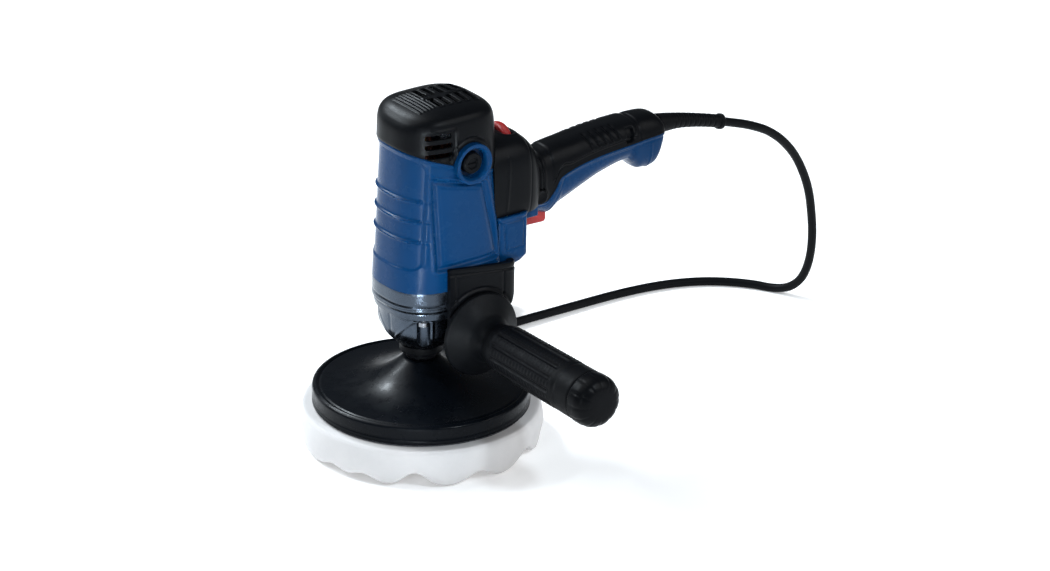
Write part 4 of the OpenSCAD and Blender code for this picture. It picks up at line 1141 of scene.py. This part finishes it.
def gear_flange():
    """The cast plate between the gear housing and the motor, with the motor bearing's tower."""
    rows = [[z, *BODY_FOOT, BODY_X, 2.6, 4.5] for z in np.linspace(FLANGE_LOW, FLANGE_TOP, 24)]
    grid = ring_grid(rows, even_angles(380, *BODY_FOOT))
    z = grid[..., 2]
    relief = 0.35 * bell(z - 133.6, 0.8) - 0.35 * bell(z - 135.8, 0.7) - 0.25 * bell(z - FLANGE_TOP, 0.7)
    plate = loft(raised(grid, relief))
    boolean(plate, rod(17, 120, 160))
    tower = place(ring(13.2, 17, 146, 159.5, 0.5), Matrix.Translation((MOTOR_X * MM, 0, 0)))
    piece(join([crisp(plate, 30), crisp(tower, 35)]), "gear_flange")


def gear_head_cover():
    """The black hood over the rear of the gear housing, open at the front, top and bottom."""
    phi = even_angles(460, *HOOD_OUTER)
    zs = np.linspace(HOOD_LOW, HOOD_TOP, 84)
    outer = ring_grid([[z, *HOOD_OUTER] for z in zs], phi)
    inner = ring_grid([[z, *HOOD_INNER] for z in zs], phi)
    x, y, z = np.moveaxis(outer, -1, 0)
    side = step(36, 40, np.abs(y))
    d = HOOD_TOP - 0.132 * np.maximum(x, 0) - z
    # a groove and a bead below the slanted top, an arc round the side handle, and two upright grooves
    relief = side * (-0.8 * bell(d - 5.0, 0.9) + 0.3 * bell(d - 6.8, 0.9))
    arc = np.hypot(x - SIDE_X, z - SIDE_Z)
    relief += side * (-0.9 * bell(arc - 38.5, 1.1) + 0.5 * bell(arc - 36.2, 1.1)) * step(112, 118, z)
    relief -= side * 0.7 * bell(x - 3.0, 0.9) * step(112, 116, z) * step(4, 7, d)
    relief -= side * 0.7 * bell(x - 50.5, 0.9) * step(120, 126, z) * step(4, 7, d)
    relief -= 0.5 * step(1.6, 0.2, z - HOOD_LOW) + 0.5 * step(1.2, 0.0, d)
    hood = hollow(raised(outer, relief), inner)
    boolean(hood, [
        slab([-70, -60, 90], [-3, 60, 180]), slab([50, -35.5, 149.8], [90, 35.5, 180]),
        prism([[56, 100], [56, 116], [70, 144], [80, 144], [80, 100]], -60, 60),
        prism([[-10, 170.5], [-10, 166.5], [0, 167], [72, 157.5], [72, 170.5]], -60, 60),
        cutter_rod(12.4, -60, 60, SIDE_X, SIDE_Z), cutter_rod(9.8, 30, 60, LOCK_X, LOCK_Z),
    ])
    piece(crisp(hood, 35), "gear_head_cover")


SPINDLE_LOCK_PROFILE = [
    [0.01, 16.2], [2.1, 16.2], [2.1, 40.5], [6.3, 40.5], [6.3, 47.2], [5.4, 48], [4.6, 47.4], [0.01, 47.4],
]


# ---- side handle

# [radius, distance from the middle plane] from the guard to the start of the grip
GUARD = [
    [0.01, 46.6], [32, 46.6], [35, 47.4], [36, 49.4], [35.2, 51.6], [32, 53.5], [27, 57], [20.5, 62],
    [17, 68], [16.5, 74], [18.5, 79], [20, 84],
]
GRIP_START, GRIP_TAPER, GRIP_FLUTES, GRIP_PITCH = 84, 0.0098, 12, 4.2
GRIP_END = [
    [0.01, 196.1], [21, 196.1], [22, 197.2], [22, 206], [20, 211.5], [15, 215.3], [8, 216], [0.01, 216],
]


def side_grip():
    """The grip with its guard: flutes with dots between them, and a groove near each end."""
    along = spans((86, 172, 110), (174, 194, 14))
    tube = [[20.4 + (h - GRIP_START) * GRIP_TAPER, h] for h in along]
    profile = [list(p) for p in rounded(GUARD, 2.0)] + tube + [[21.0, 195.4], [20.4, 196], [0.01, 196]]

    def grooves(grid, a):
        h = grid[..., 2]
        zone = step(88, 92, h) * step(171, 167, h)
        flute = np.clip((np.cos(a * GRIP_FLUTES) - 0.35) / 0.65, 0, 1) ** 0.7
        between = np.abs(((a * GRIP_FLUTES / TAU) % 1) - 0.5) < 0.2
        dots = (0.5 + 0.5 * np.cos(h * TAU / GRIP_PITCH)) ** 2 * between
        cut = zone * (1.5 * flute - 0.35 * dots)
        cut += 0.8 * bell(h - 84.5, 0.8) + 0.7 * bell(h - 176, 0.9) + 0.35 * bell(h - 49.4, 0.6)
        return drawn_in(grid, cut)

    grip = lathe(profile, 360, relief=grooves)
    boolean(grip, rod(5.1, 40, 100, 64))
    piece(crisp(place(grip, along_y(SIDE_X, SIDE_Z)), 40), "side_handle_grip")


def side_end():
    """The end of the side handle, with a groove round it and shallow lobes."""
    def lobes(grid, a):
        h = grid[..., 2]
        lobe = (0.5 + 0.5 * np.cos(a * GRIP_FLUTES)) ** 6
        cut = 0.6 * bell(h - 200.5, 0.8) + 0.5 * lobe * step(201, 203, h)
        return drawn_in(grid, cut * (radius_of(grid) > 10))

    cap = place(lathe(rounded(GRIP_END, 2.4, 5), 240, relief=lobes), along_y(SIDE_X, SIDE_Z))
    piece(crisp(cap, 40), "side_handle_end")


# ---- pads

PAD_R, PAD_TOP, BELL_RISE = 90, 50.9, 24.6
# [radius, height] of the backing pad's underside and of its socket for the hub
PAD_BOTTOM = [
    [12.5, 75.4], [12.5, 53], [32, 53], [32, 50], [8, 50], [8, 35.5], [86, 35.5], [86.8, 34.5],
    [88.8, 34.5], [PAD_R, 35.8],
]


def backing_pad():
    """A disc with a grooved rim, whose top rises in a bell to the spindle."""
    profile = rounded(PAD_BOTTOM, 0.4, 3)
    profile += [[PAD_R, h] for h in np.linspace(37.4, 48, 12)]
    arc = np.linspace(0.15, math.pi / 2, 8)
    profile += [[87.5 + 2.5 * math.cos(a), 48.4 + 2.5 * math.sin(a)] for a in arc]
    profile += [[r, PAD_TOP] for r in np.linspace(87, 84.2, 6)]
    profile += [[mix(84, 15, t), PAD_TOP + BELL_RISE * t ** 2.5] for t in np.linspace(0, 0.985, 90)]
    profile += [[14.2, 75.3], [12.9, 75.5]]

    def relief(grid, _):
        radius, h = radius_of(grid), grid[..., 2]
        moved = drawn_in(grid, 0.5 * bell(h - 39.6, 0.6) * (radius > 89.5))
        moved[..., 2] += (0.5 * bell(radius - 86.6, 1.0) - 0.8 * bell(radius - 84.2, 0.9)) * (h > 48.5)
        return moved

    piece(crisp(lathe(profile, 360, True, relief), 35), "backing_pad")


def spindle_collar():
    collar = lathe(rounded([
        [10, 76.1], [13, 76.1], [13.6, 77], [13.6, 80.6], [17, 80.6], [18, 81.6], [18, 87.4], [17, 88.4],
        [10, 88.4]
    ], 0.7, 4, True), 160, True)
    piece(crisp(collar, 38), "spindle_collar")


# (direction in degrees, depth) of the waves that reach the foam's rim
FOAM_NOTCHES = [
    (-173, 6), (-154, 7), (-128, 13), (-96, 9), (-65, 12), (-39, 11), (-12, 9), (15, 11), (43, 10), (70, 12),
    (97, 10), (124, 12), (151, 9),
]
FOAM_RIM = [
    [0, 95.0, 0.0], [1, 98.4, 3.0], [2, 99.8, 8], [3, 100.4, 14], [4, 100.4, 20], [5, 100, 26],
    [6, 99.2, 30.5], [7, 97.4, 33.4],
]
FOAM_TOP, FOAM_BORE = 33.4, 12
WAVE_PITCH, WAVE_DEPTH, WAVE_FADE = 47, 12, 24


def foam_pad():
    """A disc of foam whose working face is cut in rounded waves."""
    face = [[r, 0.0] for r in np.linspace(FOAM_BORE, 94, 68)]
    rim = table(FOAM_RIM, np.linspace(0, 7, 44)).tolist()
    top = [[r, FOAM_TOP] for r in np.linspace(95, FOAM_BORE, 30)]
    grid, _ = turned(face + rim + top, 360)
    x, y, z = np.moveaxis(grid.copy(), -1, 0)
    radius = radius_of(grid)
    at = np.degrees(np.arctan2(y, x))
    wave = TAU / WAVE_PITCH
    lift = WAVE_DEPTH * (0.5 + 0.5 * np.sin(wave * (x + 4)) * np.sin(wave * (y + 7))) ** 1.15
    notches = sum(depth * bell((at - spot + 180) % 360 - 180, 8.5) for spot, depth in FOAM_NOTCHES)
    lift = mix(lift, notches, step(72, 92, radius))
    grid[..., 2] = z + lift * np.clip(1 - z / WAVE_FADE, 0, 1) ** 1.2
    swell = 0.7 * np.sin(np.arctan2(y, x) * 9) * bell(grid[..., 2] - 16, 9) * (radius > 94)
    grid = drawn_in(grid, -swell)
    rows, cols = grid.shape[:2]
    pad = crisp(mesh_object(grid.reshape(-1, 3), grid_faces(rows, cols, looped=True)), 60)
    piece(pad, "foam_pad")


# ---- cord pieces

# [x, z, radius] along the strain relief
BOOT_ROWS = [
    [238.4, 224.6, 8.5], [245, 224, 8.1], [258, 222.6, 6.9], [272, 220, 6.2], [290, 215.6, 5.8],
    [303.5, 211.7, 5.7], [304.4, 211.4, 6.7], [307.2, 210.5, 6.8], [308, 210.3, 6.2],
]
BOOT_GROOVES, BOOT_PITCH, BOOT_CUT = (254, 300), 5.4, 0.55


def cord_boot():
    """The strain relief: a tapered sleeve with grooves round it and a collar at its end."""
    xs = spans((238.4, 303.5, 150), (303.8, 308, 10))
    mid, r = table(BOOT_ROWS, xs).T
    start, end = BOOT_GROOVES
    grooved = (xs > start) & (xs < end)
    r = r - BOOT_CUT * grooved * np.maximum(0, np.cos((xs - start) * TAU / BOOT_PITCH)) ** 2
    tilt = np.arctan(np.gradient(mid, xs))
    a = angles(96)
    up = r[:, None] * np.sin(a)
    x = xs[:, None] - up * np.sin(tilt)[:, None]
    z = mid[:, None] + up * np.cos(tilt)[:, None]
    boot = loft(np.stack([x, r[:, None] * np.cos(a), z], 2))
    boolean(boot, slab([307.6, -3.9, 206.4], [312, 3.9, 214.2]))
    piece(crisp(boot, 40), "cord_boot")


def cord_pieces():
    wear(cord, "black_rubber")
    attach(cord, "housing")
    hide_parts("power_cord", "cord_coil")


# ---- build

motor_housing()
brush_caps()
top_cover()
rear_housing()
shoulder()
speed_wheel()
handles()
trigger()
button("lock_on_button", LOCK_ON_PROFILE, BUTTON_X, BUTTON_Z, -1)
gear_housing()
gear_flange()
gear_head_cover()
button("spindle_lock_button", SPINDLE_LOCK_PROFILE, LOCK_X, LOCK_Z, 1)
side_grip()
side_end()
backing_pad()
spindle_collar()
foam_pad()
cord_boot()
cord_pieces()


# ---- stage

FLOOR_HALF = 9000
# (name, where it shines from, angle in degrees, strength)
SUNS = [("sky", (-0.35, 0.6, 1.0), 55, 1.35), ("right", (0.55, -0.75, 0.6), 40, 1.25)]
# (name, place, width, height, power, spread in degrees)
PANELS = [
    ("soft_left", (-0.42, 1.2, 0.42), 0.45, 0.8, 2.0, 180),
    ("strip_low", (-0.31, -0.40, 0.11), 0.03, 0.2, 0.13, 34),
    ("strip_front", (-1.0, -0.72, 0.42), 0.06, 0.7, 2.5, 180),
    ("strip_top", (-0.55, 0.85, 0.95), 0.7, 0.06, 12, 180),
    ("spot_left", (-0.07, 0.86, 1.02), 0.16, 0.16, 10, 180),
    ("spot_right", (0.1, -1.1, 1.0), 0.12, 0.12, 7, 180),
]
PANEL_AIM = (0.02, 0, 0.2)
PANEL_TINT = (0.84, 0.93, 1.0)


def add_light(name, data, towards):
    light = link(name, data)
    light.rotation_mode = "QUATERNION"
    light.rotation_quaternion = towards.to_track_quat("-Z", "Y")
    return light


def add_floor():
    """A pale floor that glows a little, so that its shadows stay soft."""
    g = Graph("floor")
    g.colour(g.noise(0.8, 2), [(0.3, (0.93, 0.93, 0.93)), (0.7, (0.95, 0.95, 0.95))])
    g.value("Roughness", 0.9)
    g.value("Emission Color", (1, 1, 1, 1))
    g.value("Emission Strength", 0.22)
    corners = [[x * FLOOR_HALF, y * FLOOR_HALF, 0] for x, y in ((-1, -1), (1, -1), (1, 1), (-1, 1))]
    floor = mesh_object(corners, [(0, 1, 2, 3)])
    floor.name = "floor"
    floor.data.materials.append(g.mat)


def add_world():
    world = bpy.data.worlds.new("world")
    bpy.context.scene.world = world
    world.use_nodes = True
    back = world.node_tree.nodes["Background"]
    back.inputs["Color"].default_value = (0.88, 0.94, 1.0, 1)
    back.inputs["Strength"].default_value = 0.13


def add_lights():
    for name, source, angle, strength in SUNS:
        data = bpy.data.lights.new(name, "SUN")
        data.angle = math.radians(angle)
        data.energy = strength
        add_light(name, data, -Vector(source))
    for name, at, wide, high, power, spread in PANELS:
        data = bpy.data.lights.new(name, "AREA")
        data.shape = "RECTANGLE"
        data.size, data.size_y = wide, high
        data.color = PANEL_TINT
        data.spread = math.radians(spread)
        data.energy = power
        add_light(name, data, Vector(PANEL_AIM) - Vector(at)).location = at


add_floor()
add_world()
add_lights()
bpy.context.scene.view_settings.view_transform = "Standard"
